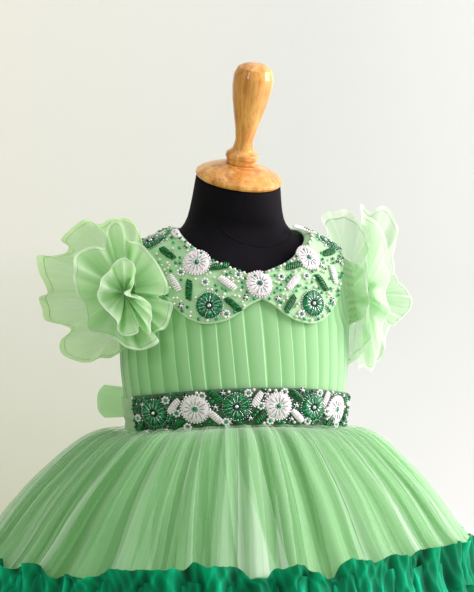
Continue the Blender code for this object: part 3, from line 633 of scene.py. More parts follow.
def hem_band(tree, colour, cover, shades, width, brightness):
    """A doubled hem along the free edge of a net, with a darker line of stitches."""
    edge = node(tree, "ShaderNodeSeparateXYZ", {"Vector": texture_place(tree, "UV")}).outputs["Y"]
    twofold = math_node(tree, "LESS_THAN", edge, width)
    half_stitch = 0.0005
    compared = {0: edge, 1: width, 2: half_stitch}
    stitch = node(tree, "ShaderNodeMath", compared, operation="COMPARE").outputs[0]
    for part, more in ((twofold, 0.22), (stitch, 0.2)):
        cover = math_node(tree, "ADD", cover, math_node(tree, "MULTIPLY", part, more))
    cover = node(tree, "ShaderNodeClamp", {"Value": cover, "Max": 0.95}).outputs["Result"]
    bright = tuple(part + (1.0 - part) * brightness for part in shades[-1])
    colour = mix_colour(tree, twofold, colour, (*bright, 1.0))
    shade = tuple(0.72 * part for part in shades[0])
    return mix_colour(tree, stitch, colour, (*shade, 1.0)), cover


def mix_colour(tree, share, first, second, blend="MIX"):
    values = {0: share, 6: first, 7: second}
    return node(tree, "ShaderNodeMix", values, data_type="RGBA", blend_type=blend).outputs[2]


def cloth_material(name, dark, light, across, down, grain=0.5):
    """Opaque woven cloth: shade painted in by how it lies, soft streaks, a little light from behind."""
    made, tree = new_material(name)
    # The tone attribute paints shade and light into the colour by how the cloth lies.
    painted_shade_and_thickness = node(tree, "ShaderNodeAttribute", attribute_name="tone").outputs["Fac"]
    height = math_node(tree, "MULTIPLY", painted_shade_and_thickness, 1.0 - grain)
    streak = math_node(tree, "MULTIPLY", streaks(tree, across, down, 4.0, 0.2), grain)
    colour = ramp(tree, math_node(tree, "ADD", height, streak), (0.25, dark), (0.75, light))
    thread = 0.0012
    weave = bump(tree, noise(tree, texture_place(tree), 1.0 / thread, 2.0), 0.35, 0.0002)
    values = {"Roughness": 0.75, "Sheen Weight": 0.8, "Normal": weave}
    return set_surface(made, tree, cloth_surface(tree, colour, 0.15, values))


def bead_material(name, dark, light, rough, metallic=0.0, coat=0.0):
    """Glass, pearl or metal beads, each a little different in tone."""
    made, tree = new_material(name)
    tone = noise(tree, texture_place(tree), 420.0, 1.0)
    values = {
        "Base Color": ramp(tree, tone, (0.35, dark), (0.65, light)),
        "Roughness": rough,
        "Specular IOR Level": 0.3,
        "Metallic": metallic,
        "Coat Weight": coat,
    }
    return set_surface(made, tree, shiny(tree, values))


def wood_material():
    """Pale varnished wood with grain that runs along the turned pieces."""
    made, tree = new_material("wood_varnish")
    lean = (0.25, 0.1, 0.3)
    broad = noise(tree, texture_place(tree, Scale=(70.0, 70.0, 9.0), Rotation=lean), 1.0, 5.0, 1.2)
    fine = noise(tree, texture_place(tree, Scale=(520.0, 520.0, 26.0), Rotation=lean), 1.0, 3.0)
    dark, middle, pale = (0.52, 0.20, 0.035), (0.78, 0.37, 0.080), (0.93, 0.52, 0.145)
    wide = ramp(tree, broad, (0.32, dark), (0.50, middle), (0.70, pale))
    pores = ramp(tree, fine, (0.36, (0.80, 0.70, 0.58)), (0.54, (1.0, 1.0, 1.0)))
    values = {
        "Base Color": mix_colour(tree, 0.8, wide, pores, "MULTIPLY"),
        "Roughness": 0.40,
        "Specular IOR Level": 0.2,
        "Coat Weight": 0.6,
        "Coat Roughness": 0.06,
        "Normal": bump(tree, fine, 0.05, 0.0002),
    }
    return set_surface(made, tree, shiny(tree, values))


def jersey_material():
    """Black knitted cover with fine ribs."""
    made, tree = new_material("jersey_black")
    knit = noise(tree, texture_place(tree, Scale=(900.0, 900.0, 700.0)), 1.0, 2.0)
    soft = noise(tree, texture_place(tree), 22.0, 2.0)
    dark, light = (0.0040, 0.0036, 0.0052), (0.0075, 0.0068, 0.0090)
    values = {
        "Base Color": ramp(tree, soft, (0.3, dark), (0.7, light)),
        "Roughness": 0.75,
        "Sheen Weight": 0.01,
        "Specular IOR Level": 0.06,
        "Normal": bump(tree, knit, 0.5, 0.0003),
    }
    return set_surface(made, tree, shiny(tree, values))


# Each list runs from the colour painted in the troughs of folds (painted shade) to the colour on the ridges
# (painted light).
LINING_SHADES = ((0.15, 0.41, 0.12), (0.30, 0.66, 0.26))
NET_SHADES = ((0.22, 0.56, 0.19), (0.40, 0.78, 0.37), (0.60, 0.89, 0.58))
OUTER_SHADES = ((0.34, 0.72, 0.31), (0.52, 0.86, 0.49), (0.76, 0.95, 0.74))
BACK_FRILL_SHADES = ((0.26, 0.64, 0.15), (0.45, 0.81, 0.31), (0.64, 0.90, 0.48))
ORGANZA_SHADES = ((0.31, 0.66, 0.24), (0.52, 0.82, 0.43), (0.72, 0.91, 0.64))
# A paler copy for the sleeve that faces the window light: painted light.
LIT_SIDE_SHADES = ((0.42, 0.74, 0.38), (0.65, 0.88, 0.60), (0.82, 0.94, 0.78))
FRILL_SHADES = ((0.000, 0.030, 0.012), (0.000, 0.36, 0.155), (0.015, 1.00, 0.58))

lining_cloth = cloth_material("mint_lining", *LINING_SHADES, 60.0, 1.5)
# The bodice's dark and light are painted shade and painted highlight across its pleats.
bodice_cloth = cloth_material("mint_bodice", (0.22, 0.56, 0.19), (0.44, 0.82, 0.40), 40.0, 6.0, 0.12)
collar_cloth = cloth_material("mint_collar", (0.42, 0.76, 0.38), (0.52, 0.84, 0.48), 60.0, 60.0)
piping_cloth = cloth_material("mint_piping", (0.50, 0.82, 0.46), (0.64, 0.90, 0.60), 60.0, 60.0)
belt_cloth = cloth_material("belt_green", (0.03, 0.11, 0.04), (0.08, 0.20, 0.09), 60.0, 60.0)
net_middle = net_material("mint_net_middle", NET_SHADES, (0.25, 0.80), 50.0, grain=0.18, seed=1.0)
net_outer = net_material("mint_net_outer", OUTER_SHADES, (0.10, 0.80), 60.0, grain=0.15, seed=5.0)
frill_cloths = {}
# The left sleeve, which faces the window light, gets the paler copy: painted light.
for label, back_shades, front_shades in (
    ("right", BACK_FRILL_SHADES, ORGANZA_SHADES),
    ("left", LIT_SIDE_SHADES, LIT_SIDE_SHADES),
):
    for name, shades, covers, band in (
        ("inner", back_shades, (0.53, 0.88), (0.010, 0.0)),
        ("middle", front_shades, (0.78, 0.92), (0.008, 0.0)),
        ("outer", front_shades, (0.90, 0.95), (0.005, 0.32)),
    ):
        frill_cloths[name, label] = net_material(
            f"mint_organza_{name}_{label}", shades, covers, 12.0, 0.45, 0.12, 2.0, band
        )
bow_organza = net_material(
    "mint_organza_bow", ORGANZA_SHADES, (0.53, 0.88), 14.0, 0.45, 0.15, 2.0, (0.010, 0.0)
)
sash_organza = net_material("mint_sash", ORGANZA_SHADES, (0.95, 1.0), 22.0, 0.35, 0.5, 4.0)
frill_net = net_material("green_frill_net", FRILL_SHADES, (1.0, 1.0), 20.0, 0.30, 0.30, 7.0, sheen=0.0)
white_bead = bead_material("bead_white", (0.80, 0.74, 0.75), (0.93, 0.91, 0.91), 0.25, coat=0.5)
pearl_bead = bead_material("bead_pearl", (0.80, 0.76, 0.66), (0.92, 0.90, 0.82), 0.18, coat=0.8)
green_bead = bead_material("bead_green", (0.000, 0.040, 0.006), (0.003, 0.22, 0.045), 0.15, coat=0.25)
emerald_bead = bead_material("bead_emerald", (0.000, 0.10, 0.035), (0.01, 0.40, 0.14), 0.10, coat=0.35)
silver_bead = bead_material("bead_silver", (0.55, 0.58, 0.60), (0.90, 0.92, 0.92), 0.12, metallic=0.9)
dark_bead = bead_material("bead_dark", (0.004, 0.012, 0.012), (0.03, 0.05, 0.05), 0.15, metallic=0.5)
varnished_wood = wood_material()
black_jersey = jersey_material()
BEAD_MATERIALS = [white_bead, green_bead, silver_bead, emerald_bead, pearl_bead, dark_bead]
WHITE, GREEN, SILVER, EMERALD, PEARL, DARK = range(6)


# The form


def turned(name, profile, node_name, location=(0, 0, 0), rotation=(0, 0, 0)):
    """A turned wooden piece, from its profile."""
    edges = [(i, i + 1) for i in range(len(profile) - 1)]
    made = new_object(name, [(radius, 0.0, height) for radius, height in profile], (), edges)
    screw = made.modifiers.new("turn", "SCREW")
    screw.steps = screw.render_steps = 48
    screw.use_merge_vertices = True
    screw.merge_threshold = 0.00001
    screw.use_smooth_shade = True
    smooth = made.modifiers.new("smooth", "SUBSURF")
    smooth.levels = smooth.render_levels = 1
    made.location = location
    made.rotation_euler = rotation
    return place(made, "varnished_wood", [node_name], [varnished_wood])


def doubled(profile, near=0.12):
    """The same profile with a point close to each end of each run, so that its corners stay."""
    points = [profile[0]]
    for (r0, h0), (r1, h1) in zip(profile, profile[1:]):
        for share in (near, 1 - near):
            points.append((r0 + (r1 - r0) * share, h0 + (h1 - h0) * share))
        points.append((r1, h1))
    return points


def make_torso():
    columns, inset = 64, 0.0010
    angles = 360.0 * np.arange(columns) / columns
    turn = np.radians(angles)
    rings = [body(angles, section[0], -inset) for section in TORSO_SECTIONS]
    for height, radius, forward, tilt in NECK_SECTIONS:
        lean = Matrix.Rotation(math.radians(tilt), 4, "X")
        side = Matrix.Rotation(math.radians(CAP_SIDE_LEAN * tilt / CAP_TILT), 4, "Y")
        spokes = np.stack([radius * np.sin(turn), -radius * np.cos(turn), 0 * turn], -1)
        rings.append(spokes @ np.array((side @ lean).to_3x3()).T + np.array([0.0, -forward, height]))
    # Two rings close to the neck's top edge keep it sharp under the cap
    close = 0.94
    top, middle = rings[-1], rings[-1].mean(0)
    rings.insert(-1, rings[-2] + (top - rings[-2]) * close)
    rings.append(middle + (top - middle) * close)
    points = np.concatenate(rings)
    faces = grid_faces(len(rings), columns, True)[0].tolist()
    faces.append(list(range(columns))[::-1])
    faces.append(list(range(len(points) - columns, len(points))))
    made = new_object("padded_torso", points.tolist(), faces)
    smooth = made.modifiers.new("smooth", "SUBSURF")
    smooth.levels = smooth.render_levels = 1
    place(made, "black_jersey", ["form_torso"], [black_jersey])


def make_form():
    make_torso()
    height, _, forward, _ = NECK_SECTIONS[-1]
    lean = Matrix.Rotation(math.radians(CAP_TILT), 4, "X")
    tilt = Matrix.Rotation(math.radians(CAP_SIDE_LEAN), 4, "Y") @ lean
    up = tilt @ Vector((0.0, 0.0, 1.0))
    cap_gap, knob_gap, post_foot = 0.0003, 0.0004, 0.0183
    seat = Vector((0.0, -forward, height)) + up * cap_gap
    turned("neck_cap", doubled(CAP_PROFILE), "form_neck_cap", seat, tilt.to_euler())
    knob_seat = seat + up * (CAP_PROFILE[1][1] + knob_gap)
    turned("knob", doubled(KNOB_PROFILE), "form_knob", knob_seat, tilt.to_euler())
    turned("post", doubled(POST_PROFILE, 0.02), "stand_post", (0, 0, post_foot))
    turned("base", doubled(BASE_PROFILE, 0.08), "stand_base")


def tube_along(name, path, radius, slot, material, closed=False):
    """A round welt or piping along a line of points."""
    sides = 8
    ahead = np.roll(path, -1, 0) - np.roll(path, 1, 0)
    if not closed:
        ahead[0], ahead[-1] = path[1] - path[0], path[-1] - path[-2]
    ahead = unit(ahead)
    first = unit(np.cross(ahead, np.array([0.0, 0.0, 1.0]) + 0.01))
    second = np.cross(ahead, first)
    turns = (2 * math.pi * np.arange(sides) / sides)[:, None, None]
    grid = path + radius * (np.cos(turns) * first + np.sin(turns) * second)
    columns = len(path)
    faces = (grid_faces(sides + 1, columns, closed)[0] % (sides * columns)).tolist()
    if not closed:
        faces.append([k * columns for k in range(sides)])
        faces.append([k * columns + columns - 1 for k in range(sides)][::-1])
    made = new_object(name, grid.reshape(-1, 3).tolist(), faces)
    return place(made, slot, (), [material])


# Seam of the neck in front, in millimetres in the camera's view: across, up
NECK_SEAM = ((-20, 70), (-5, 60), (10, 53), (32, 49), (46, 53), (55, 59))
NECK_SEAM_BEHIND = 0.4990


def make_neck_seam():
    table = [seen_at(across / 1000, up / 1000, 0.0) for across, up in NECK_SEAM]
    first, last = table[0][0] - 30.0, table[-1][0] + 30.0
    table = [(first, NECK_SEAM_BEHIND), *table, (last, NECK_SEAM_BEHIND)]
    angles = np.linspace(-180, 180, 181)[:-1]
    sunk, radius = 0.0012, 0.0009
    path = body(angles, curve(table, angles), -sunk)
    tube_along("neck_seam", path, radius, "black_jersey", black_jersey, True)


# The bodice

PLEAT_STEPS = (0.0, 0.04, 0.10, 0.20, 0.36, 0.52, 0.68, 0.80, 0.88, 0.92, 0.95, 0.975)
PLEAT_LEAN = 0.075


def pleat_profile(t):
    """How high a pleat stands across its width: a slow rise, then a drop past its edge."""
    rise = np.minimum(1.0, t / 0.92) ** 1.3
    return rise * (1 - step_up(0.94, 1.0, t))


def pleat_painted_shade(t):
    """Painted shade across a pleat: a painted shadow by its neighbour's edge, a painted highlight at its
    own.
    """
    # edge is a painted highlight along the pleat's own fold; the rise from 0.30 is painted shade that lifts
    # away from the neighbour's edge.
    edge = step_up(0.86, 0.93, t) * (1 - step_up(0.945, 0.98, t))
    return 0.30 + 0.34 * step_up(0.0, 0.80, t) + 0.12 * edge


def bodice_panel(name, node_name, first_share, last_share, pleats, turn):
    free, seam = 45.0, 0.15
    t = np.tile(PLEAT_STEPS, pleats)
    k = np.repeat(np.arange(pleats), len(PLEAT_STEPS))
    shares = first_share + (last_share - first_share) * (k + t) / pleats
    shares = np.append(shares, last_share)
    relief = np.append(pleat_profile(t), 0.0)
    order = np.append(k, pleats - 1)
    across = (shares - first_share) / (last_share - first_share)
    levels = np.linspace(0.0, 1.0, 49) ** 0.9
    rows = []
    for level in levels:
        uneven = 0.35 * np.sin(2.6 * level + 1.7 * order)
        lean = PLEAT_LEAN * (1 - np.abs(2 * across - 1) ** 4) * (0.5 - level + 0.2 * uneven)
        nominal = even_angle(0.25 * (shares + lean))
        base = even_angle(0.25 * shares) + turn
        bottom = waist_height(base)
        top = neckline_height(base) - BODICE_NECK_DROP
        height = bottom + level * (top - bottom)
        gap = np.abs((height - ARMHOLE_HEIGHT) / ARMHOLE_HALF_HEIGHT)
        hole = ARMHOLE_HALF_ANGLE * np.sqrt(np.clip(1 - gap**2, 0.0, 1.0))
        side = np.abs(nominal)
        squeeze = np.where(side > free, (90.0 - seam - hole - free) / (90.0 - free), 1.0)
        angle = np.where(side > free, np.sign(nominal) * (free + (side - free) * squeeze), nominal)
        soft = 1.0 + 0.25 * np.sin(5.1 * level + 2.3 * order)
        raised = 0.7 * PLEAT_RELIEF * relief * squeeze * np.minimum(soft, 1.0)
        rows.append(body(angle + turn, height, BODICE_OFFSET + raised))
    grid = np.array(rows)
    width, length = cut_of(grid)
    # Painted shade and highlight of each pleat, for the bodice's colour.
    tone = np.append(pleat_painted_shade(t), 0.3)
    down = levels * length
    made = cloth(name, grid, "mint_net", bodice_cloth, [node_name], across=width, down=down, tone=tone)


def make_bodice():
    # Half of the gap at the centre-back seam, as a share of a quarter round
    half_gap = 0.0003 / 0.24
    bodice_panel("pleated_front", "bodice_front", -1.0, 1.0, PLEATS_ACROSS, 0.0)
    back = PLEATS_ACROSS // 2
    bodice_panel("pleated_back_left", "bodice_back_left", -1.0, -half_gap, back, 180.0)
    bodice_panel("pleated_back_right", "bodice_back_right", half_gap, 1.0, back, 180.0)


# The collar


def collar_point(side, angle, share, offset=COLLAR_OFFSET):
    """A point on a collar half: share 0 at the roll and 1 at the edge."""
    place_angle = side * angle + COLLAR_TURN
    rolled = neckline_height(place_angle) - COLLAR_ROLL
    edge = curve(COLLAR_EDGE, angle)
    return body(place_angle, rolled + (edge - rolled) * share, offset)


def make_collar():
    angles = np.linspace(0.3, 179.7, 180)
    for name, side in (("right", -1), ("left", 1)):
        rows = []
        for share in np.linspace(0.0, 1.0, 5):
            around = side * angles + COLLAR_TURN
            height = neckline_height(around) - COLLAR_ROLL * share
            rise = (COLLAR_OFFSET - COLLAR_ROOT_OFFSET) * math.sin(0.5 * math.pi * share)
            rows.append(body(around, height, COLLAR_ROOT_OFFSET + rise))
        for share in np.linspace(0.06, 1.0, 17):
            rows.append(collar_point(side, angles, share))
        grid = np.array(rows)[:, ::-side]
        width, length = cut_of(grid)
        made = cloth(
            f"collar_half_{name}",
            grid,
            "collar_cloth",
            collar_cloth,
            [f"collar_{name}"],
            across=width,
            down=np.linspace(length, 0.0, len(rows)),
            fold=0.0012,
        )
        path = collar_point(side, angles, 1.0, COLLAR_OFFSET - 0.0004)
        piping = tube_along(f"collar_piping_{name}", path, 0.0012, "collar_cloth", piping_cloth)


# Beadwork


def bead_frame(angle, height, offset):
    point, along, up, out = body_frame(angle, height)
    return point + out * offset, along, up, out


def add_bead(beads, template, angle, height, lift, size, slot):
    beads.add(template, *bead_frame(angle, height, lift), size, slot)


def add_ring(beads, angle, height, count, reach, lift, size, slots):
    """Round beads in a ring, with the slots by turns."""
    for i in range(count):
        turn = 2 * math.pi * i / count
        a, h = moved(angle, height, reach * math.cos(turn), reach * math.sin(turn))
        add_bead(beads, BALL, a, h, lift, size, slots[i % len(slots)])


def add_bar(beads, angle, height, lean, offset, slot, count, width):
    """A padded bar of bugle beads that lie side by side across it."""
    radius = 0.00105
    turn = math.radians(lean)
    for i in range(count):
        step = (i - (count - 1) / 2) * 2 * radius
        a, h = moved(angle, height, step * math.sin(turn), step * math.cos(turn))
        end = abs(i - (count - 1) / 2) / (count / 2)
        wide = width * (1.0 - 0.35 * end**3)
        where, along, up, out = bead_frame(a, h, offset + radius + 0.0006 * (1 - end**2))
        slant = turn + (0.45 if slot == GREEN else 0.18)
        way = along * math.cos(slant) - up * math.sin(slant)
        other = np.cross(out, way)
        beads.add(TUBE, where, way, other, out, (wide, radius, radius), slot)


def add_small_flower(beads, angle, height, offset):
    """A ring of white beads round a green one."""
    add_ring(beads, angle, height, 7, 0.0029, offset + 0.0011, (0.0014, 0.0014, 0.0012), [WHITE])
    add_bead(beads, GEM, angle, height, offset + 0.0009, (0.0019, 0.0019, 0.0018), EMERALD)


def add_rhinestone(beads, angle, height, offset):
    """A clear stone in a ring of small beads."""
    add_ring(beads, angle, height, 9, 0.0023, offset + 0.0006, 0.0008, [SILVER, DARK])
    add_bead(beads, GEM, angle, height, offset + 0.0004, (0.0018, 0.0018, 0.0020), SILVER)


def add_round(beads, angle, height, offset, radius, slot):
    template = GEM if slot == EMERALD else BALL
    add_bead(beads, template, angle, height, offset + 0.8 * radius, radius, slot)


def add_spoke(beads, angle, height, turn, span, lift, thick, slot):
    """A bugle bead that points away from a flower's middle, from one radius to another."""
    middle = (span[0] + span[1]) / 2
    a, h = moved(angle, height, middle * math.cos(turn), middle * math.sin(turn))
    where, across, rise, normal = bead_frame(a, h, lift)
    way = across * math.cos(turn) + rise * math.sin(turn)
    beads.add(TUBE, where, way, np.cross(normal, way), normal, (span[1] - span[0], thick, thick), slot)


def make_flower(name, node_name, angle, height, radius, colour, offset):
    """A round flower: bugle beads that run out from a stone, with a beaded rim."""
    beads = Beads()
    green = colour == "green"
    petal, line, rim = (GREEN, SILVER, SILVER) if green else (WHITE, GREEN, WHITE)
    disc = (radius * 0.94, radius * 0.94, 0.0014)
    add_bead(beads, ball(24, 6), angle, height, offset + 0.0002, disc, petal)
    spokes = 39
    petal_span = (0.20 * radius, 0.93 * radius)
    for i in range(spokes):
        turn = 2 * math.pi * i / spokes
        shade = EMERALD if green and i % 2 else petal
        add_spoke(beads, angle, height, turn, petal_span, offset + 0.0014, 0.00105, shade)
        if i % 3 == 0:
            span = (0.30 * radius, (0.68 + 0.12 * (i % 2)) * radius)
            add_spoke(beads, angle, height, turn, span, offset + 0.0026, 0.00025, line)
    rim_count, rim_size = (34, 0.00085) if green else (30, 0.00115)
    add_ring(beads, angle, height, rim_count, 0.96 * radius, offset + rim_size, rim_size, [rim])
    stone, stone_rim = (SILVER, DARK) if green else (EMERALD, SILVER)
    add_bead(beads, GEM, angle, height, offset + 0.0018, (0.0022, 0.0022, 0.0024), stone)
    add_ring(beads, angle, height, 10, 0.0029, offset + 0.0022, 0.0008, [stone_rim])
    beads.make(name, f"{colour}_beads", BEAD_MATERIALS, [node_name])


def scatter(beads, taken, spots, offset, kinds):
    """Fills the free places among the larger motifs with small beads."""
    for angle, height in spots:
        radius, slot = kinds[random.randint(len(kinds))]
        here = body(angle, height)
        if all(np.linalg.norm(here - spot) > reach + 0.8 * radius for spot, reach in taken):
            add_round(beads, angle, height, offset, radius, slot)
            taken.append((here, radius))


def add_motifs(beads, taken, offset, bars, flowers, stones, bar_size, reaches):
    """Sews bars, small flowers and stones on where the camera sees them, and notes what they cover.

    bar_size is a bar's count of beads, their length and how far along it what it covers is noted.
    reaches are the radii that bars, flowers and stones keep free.
    """
    count, width, half = bar_size
    bar_reach, flower_reach, stone_reach = reaches
    for table, slot in bars:
        for across, up, lean in table:
            angle, height = seen_at(across / 1000, up / 1000, offset)
            add_bar(beads, angle, height, lean, offset, slot, count, width)
            turn = math.radians(lean)
            for step in (-half, 0.0, half):
                a, h = moved(angle, height, step * math.sin(turn), step * math.cos(turn))
                taken.append((body(a, h), bar_reach))
    motifs = ((flowers, add_small_flower, flower_reach), (stones, add_rhinestone, stone_reach))
    for table, add, reach in motifs:
        for across, up in table:
            angle, height = seen_at(across / 1000, up / 1000, offset)
            add(beads, angle, height, offset)
            taken.append((body(angle, height), reach))


def collar_edge_spots():
    """Places for beads along the collar's roll and along its edge, and whether each is green."""
    spots = []
    for side in (-1, 1):
        for k, angle in enumerate(np.arange(2.0, 78.0, 2.1)):
            around = side * angle + COLLAR_TURN
            spots.append((around, float(neckline_height(around) - COLLAR_ROLL * 0.9), k % 3 == 0))
        for k, angle in enumerate(np.arange(3.0, 84.0, 4.3)):
            height = float(curve(COLLAR_EDGE, angle)) + 0.0022
            spots.append((side * angle + COLLAR_TURN, height, k % 2 == 0))
    return spots


def make_collar_beads():
    offset = COLLAR_OFFSET + BEAD_GAP
    beads = Beads()
    taken = [(body(angle, height), radius) for _, angle, height, radius, _ in FLOWERS]
    bars = ((WHITE_BARS, WHITE), (GREEN_BARS, GREEN))
    reaches = (0.0044, 0.0042, 0.0030)
    add_motifs(beads, taken, offset, bars, SMALL_FLOWERS, RHINESTONES, (9, 0.0078, 0.006), reaches)
    for angle, height, green in collar_edge_spots():
        kind = (0.0017, EMERALD) if green else (0.0016, PEARL)
        add_round(beads, angle, height, offset, *kind)
        taken.append((body(angle, height), 0.0017))
    spots = []
    for _ in range(900):
        side = random.choice((-1, 1))
        angle = random.uniform(2.0, 84.0)
        share = random.uniform(0.06, 0.92)
        around = side * angle + COLLAR_TURN
        rolled = float(neckline_height(around)) - COLLAR_ROLL
        spots.append((around, rolled + (float(curve(COLLAR_EDGE, angle)) - rolled) * share))
    kinds = [(0.0017, EMERALD), (0.0015, PEARL), (0.0016, EMERALD), (0.0013, PEARL)]
    scatter(beads, taken, spots, offset, kinds)
    beads.make("collar_beads", "white_beads", BEAD_MATERIALS)


def belt_middle(angle):
    return float(waist_height(angle)) + BELT_LIFT + BELT_WIDTH / 2


def make_belt():
    angles = np.linspace(-BELT_HALF_ANGLE, BELT_HALF_ANGLE, 121)
    levels = np.linspace(BELT_LIFT, BELT_LIFT + BELT_WIDTH, 9)
    grid = np.array([body(angles, waist_height(angles) + level, BELT_OFFSET) for level in levels])
    width, length = cut_of(grid)
    band = cloth("belt_band", grid, "belt_cloth", belt_cloth, ["belt_front"], across=width, fold=0.0014)


def make_belt_beads():
    offset = BELT_OFFSET + BEAD_GAP
    beads = Beads()
    taken = [(body(angle, belt_middle(angle)), BELT_FLOWER_RADIUS) for angle, _ in BELT_FLOWERS]
    bars = ((BELT_WHITE_BARS, WHITE), (BELT_GREEN_BARS, GREEN))
    bar_size, reaches = (8, 0.0072, 0.005), (0.0040, 0.0040, 0.0028)
    add_motifs(beads, taken, offset, bars, BELT_SMALL_FLOWERS, BELT_RHINESTONES, bar_size, reaches)
    spots = []
    for _ in range(2600):
        angle = random.uniform(-BELT_HALF_ANGLE + 1.5, BELT_HALF_ANGLE - 1.5)
        level = BELT_LIFT + random.uniform(0.0015, BELT_WIDTH - 0.0015)
        spots.append((angle, float(waist_height(angle)) + level))
    large = [(0.0016, PEARL), (0.0017, EMERALD), (0.0016, GREEN), (0.0017, EMERALD)]
    scatter(beads, taken, spots[:700], offset, large)
    small = [(0.0010, GREEN), (0.0010, EMERALD), (0.0009, GREEN), (0.0009, SILVER), (0.0010, DARK)]
    scatter(beads, taken, spots[700:], offset, small)
    beads.make("belt_beads", "green_beads", BEAD_MATERIALS)


def make_flowers():
    for node_name, angle, height, radius, colour in FLOWERS:
        name = node_name.replace("flower", "bead_flower")
        make_flower(name, node_name, angle, height, radius, colour, COLLAR_OFFSET)
    for k, (angle, colour) in enumerate(BELT_FLOWERS, 1):
        height = belt_middle(angle)
        name = f"flower_belt_{k}"
        make_flower(f"bead_{name}", name, angle, height, BELT_FLOWER_RADIUS, colour, BELT_OFFSET)


# The skirt


def fold_wave(share):
    turn = 2 * math.pi * share
    phase = SKIRT_FOLDS * turn + 0.9 * np.sin(5 * turn + 0.7) + 0.6 * np.sin(9 * turn + 2.1)
    depth = 0.78 + 0.18 * np.sin(7 * turn + 1.3) + 0.10 * np.sin(11 * turn + 4.0)
    return depth * (np.sin(phase) + 0.22 * np.sin(2 * phase + 0.5))


def skirt_base(share, along):
    angle = even_angle(share)
    waist_offset, waist_drop = 0.0038, 0.0009
    waist = body(angle, waist_height(angle), waist_offset)
    turn = 2 * math.pi * share
    away_x, away_y = np.sin(turn), -np.cos(turn)
    rim_x = SKIRT_HEM_SHIFT[0] + SKIRT_HEM_RADIUS * away_x
    rim_y = SKIRT_HEM_SHIFT[1] + SKIRT_HEM_RADIUS * away_y
    spread, drop = curve(SKIRT_CURVE, along, 1), curve(SKIRT_CURVE, along, 2)
    top = waist[..., 2] - waist_drop
    hem = HEM_HEIGHT + SKIRT_HEM_SIDE_RISE * away_x
    x = waist[..., 0] * (1 - spread) + rim_x * spread
    y = waist[..., 1] * (1 - spread) + rim_y * spread
    return np.stack([x, y, top + (hem - top) * drop], -1)


def net_folds(share, along, first, last, kinds, seed):
    """How thick the net lies over itself: each fold has a crisp edge and fades away on one side.

    kinds has rows of count, width at the hem as a share of the way round, strength, where folds
    begin and where they end down the skirt.
    """
    made = np.random.RandomState(seed)
    total = np.zeros(share.shape)
    for count, width, strength, begins, ends in kinds:
        for k in range(count):
            place = first + (last - first) * (k + made.uniform(0.05, 0.95)) / count
            lean, wide = made.normal(0, 0.007), width * made.uniform(0.4, 1.7)
            side, size = made.choice((-1, 1)), strength * made.uniform(0.35, 1.0)
            top, end = begins + made.uniform(0.0, 0.25), ends - made.uniform(0.0, 0.35)
            away = side * (share - place - lean * along**1.4) / (wide * (0.22 + 0.78 * along))
            fold = np.where(away > 0, 0.45 + 0.55 * np.exp(-3.0 * np.abs(away)), 0.0)
            fold = fold * step_up(1.0, 0.94, away)
            total += size * fold * step_up(top - 0.1, top, along) * (1 - step_up(end - 0.2, end, along))
    return total


def skirt_layer(first, last, columns, rows, lift, height, kinds, seed):
    """One layer of the skirt: the main folds, the net's own folds, and the shade painted over them."""
    share, along = np.meshgrid(np.linspace(first, last, columns), np.linspace(0.0, 1.0, rows))
    nudge = 0.01
    low, high = np.maximum(0.0, along - nudge), np.minimum(1.0, along + nudge)
    down = skirt_base(share, high) - skirt_base(share, low)
    across = skirt_base(share + 0.002, along) - skirt_base(share - 0.002, along)
    normal = unit(np.cross(down, across))
    turn = 2 * math.pi * share
    level = np.stack([np.sin(turn), -np.cos(turn), 0 * turn], -1)
    mix = np.minimum(1.0, along / 0.12)[..., None]
    way = unit(level * (1 - mix) + normal * mix)
    depth = 0.0010 + 0.0032 * along**0.8
    main = fold_wave(share)
    thick = net_folds(share, along, first, last, kinds, seed)
    gathered = height * (0.35 + 0.65 * along) * np.minimum(1.0, along / 0.04)
    swell = depth * main + gathered * np.minimum(thick, 1.6)
    grid = skirt_base(share, along) + way * (swell + lift)[..., None]
    # The tone paints shade in the main folds' troughs and light on their ridges; where the net lies thicker
    # it hides more and is also painted lighter.
    return grid, np.clip(0.16 + 0.04 * main + 0.44 * thick, 0.0, 1.0)


# Where front and back begin and end, as shares of the way round, with a little overlap
SIDE_OVERLAP = 0.0006
HALVES = {
    "front": (-0.25 - SIDE_OVERLAP, 0.25 + SIDE_OVERLAP),
    "back": (0.25 - SIDE_OVERLAP, 0.75 + SIDE_OVERLAP),
}
# Kinds of fold in the net: count, width, strength, where they begin and end
LINING_FOLDS = ((30, 0.016, 0.8, 0.0, 1.3),)
MIDDLE_FOLDS = ((26, 0.018, 1.0, 0.0, 1.5), (34, 0.007, 0.9, 0.0, 1.3), (60, 0.006, 0.7, 0.0, 0.5))
OUTER_FOLDS = ((24, 0.017, 1.0, 0.0, 1.5), (40, 0.006, 1.0, 0.0, 1.4), (70, 0.005, 0.8, 0.0, 0.5))


def make_skirt():
    length, half_round = 0.21, math.pi * 0.25
    for name, (low, high) in HALVES.items():
        for layer, material, lift, height, kinds, rows, columns, seed in (
            ("lining", lining_cloth, 0.0, 0.0005, LINING_FOLDS, 25, 901, 950),
            ("middle", net_middle, 0.0030, 0.0008, MIDDLE_FOLDS, 27, 1401, 1434),
            ("outer", net_outer, 0.0060, 0.0011, OUTER_FOLDS, 27, 1401, 1434),
        ):
            lowest = layer == "lining"
            grid, tone = skirt_layer(low, high, columns, rows, lift, height, kinds, seed)
            made = cloth(
                f"skirt_{layer}_{name}",
                grid,
                "mint_net",
                material,
                [f"skirt_{name}"] if lowest else (),
                across=half_round,
                down=np.linspace(length, 0.0, rows),
                tone=tone,
            )


def flute_wave(share):
    turn = 2 * math.pi * share
    phase = HEM_FLUTES * turn + 1.1 * np.sin(7 * turn + 0.4) + 0.5 * np.sin(13 * turn)
    return (0.85 + 0.15 * np.sin(6 * turn + 2.0)) * np.sin(phase)


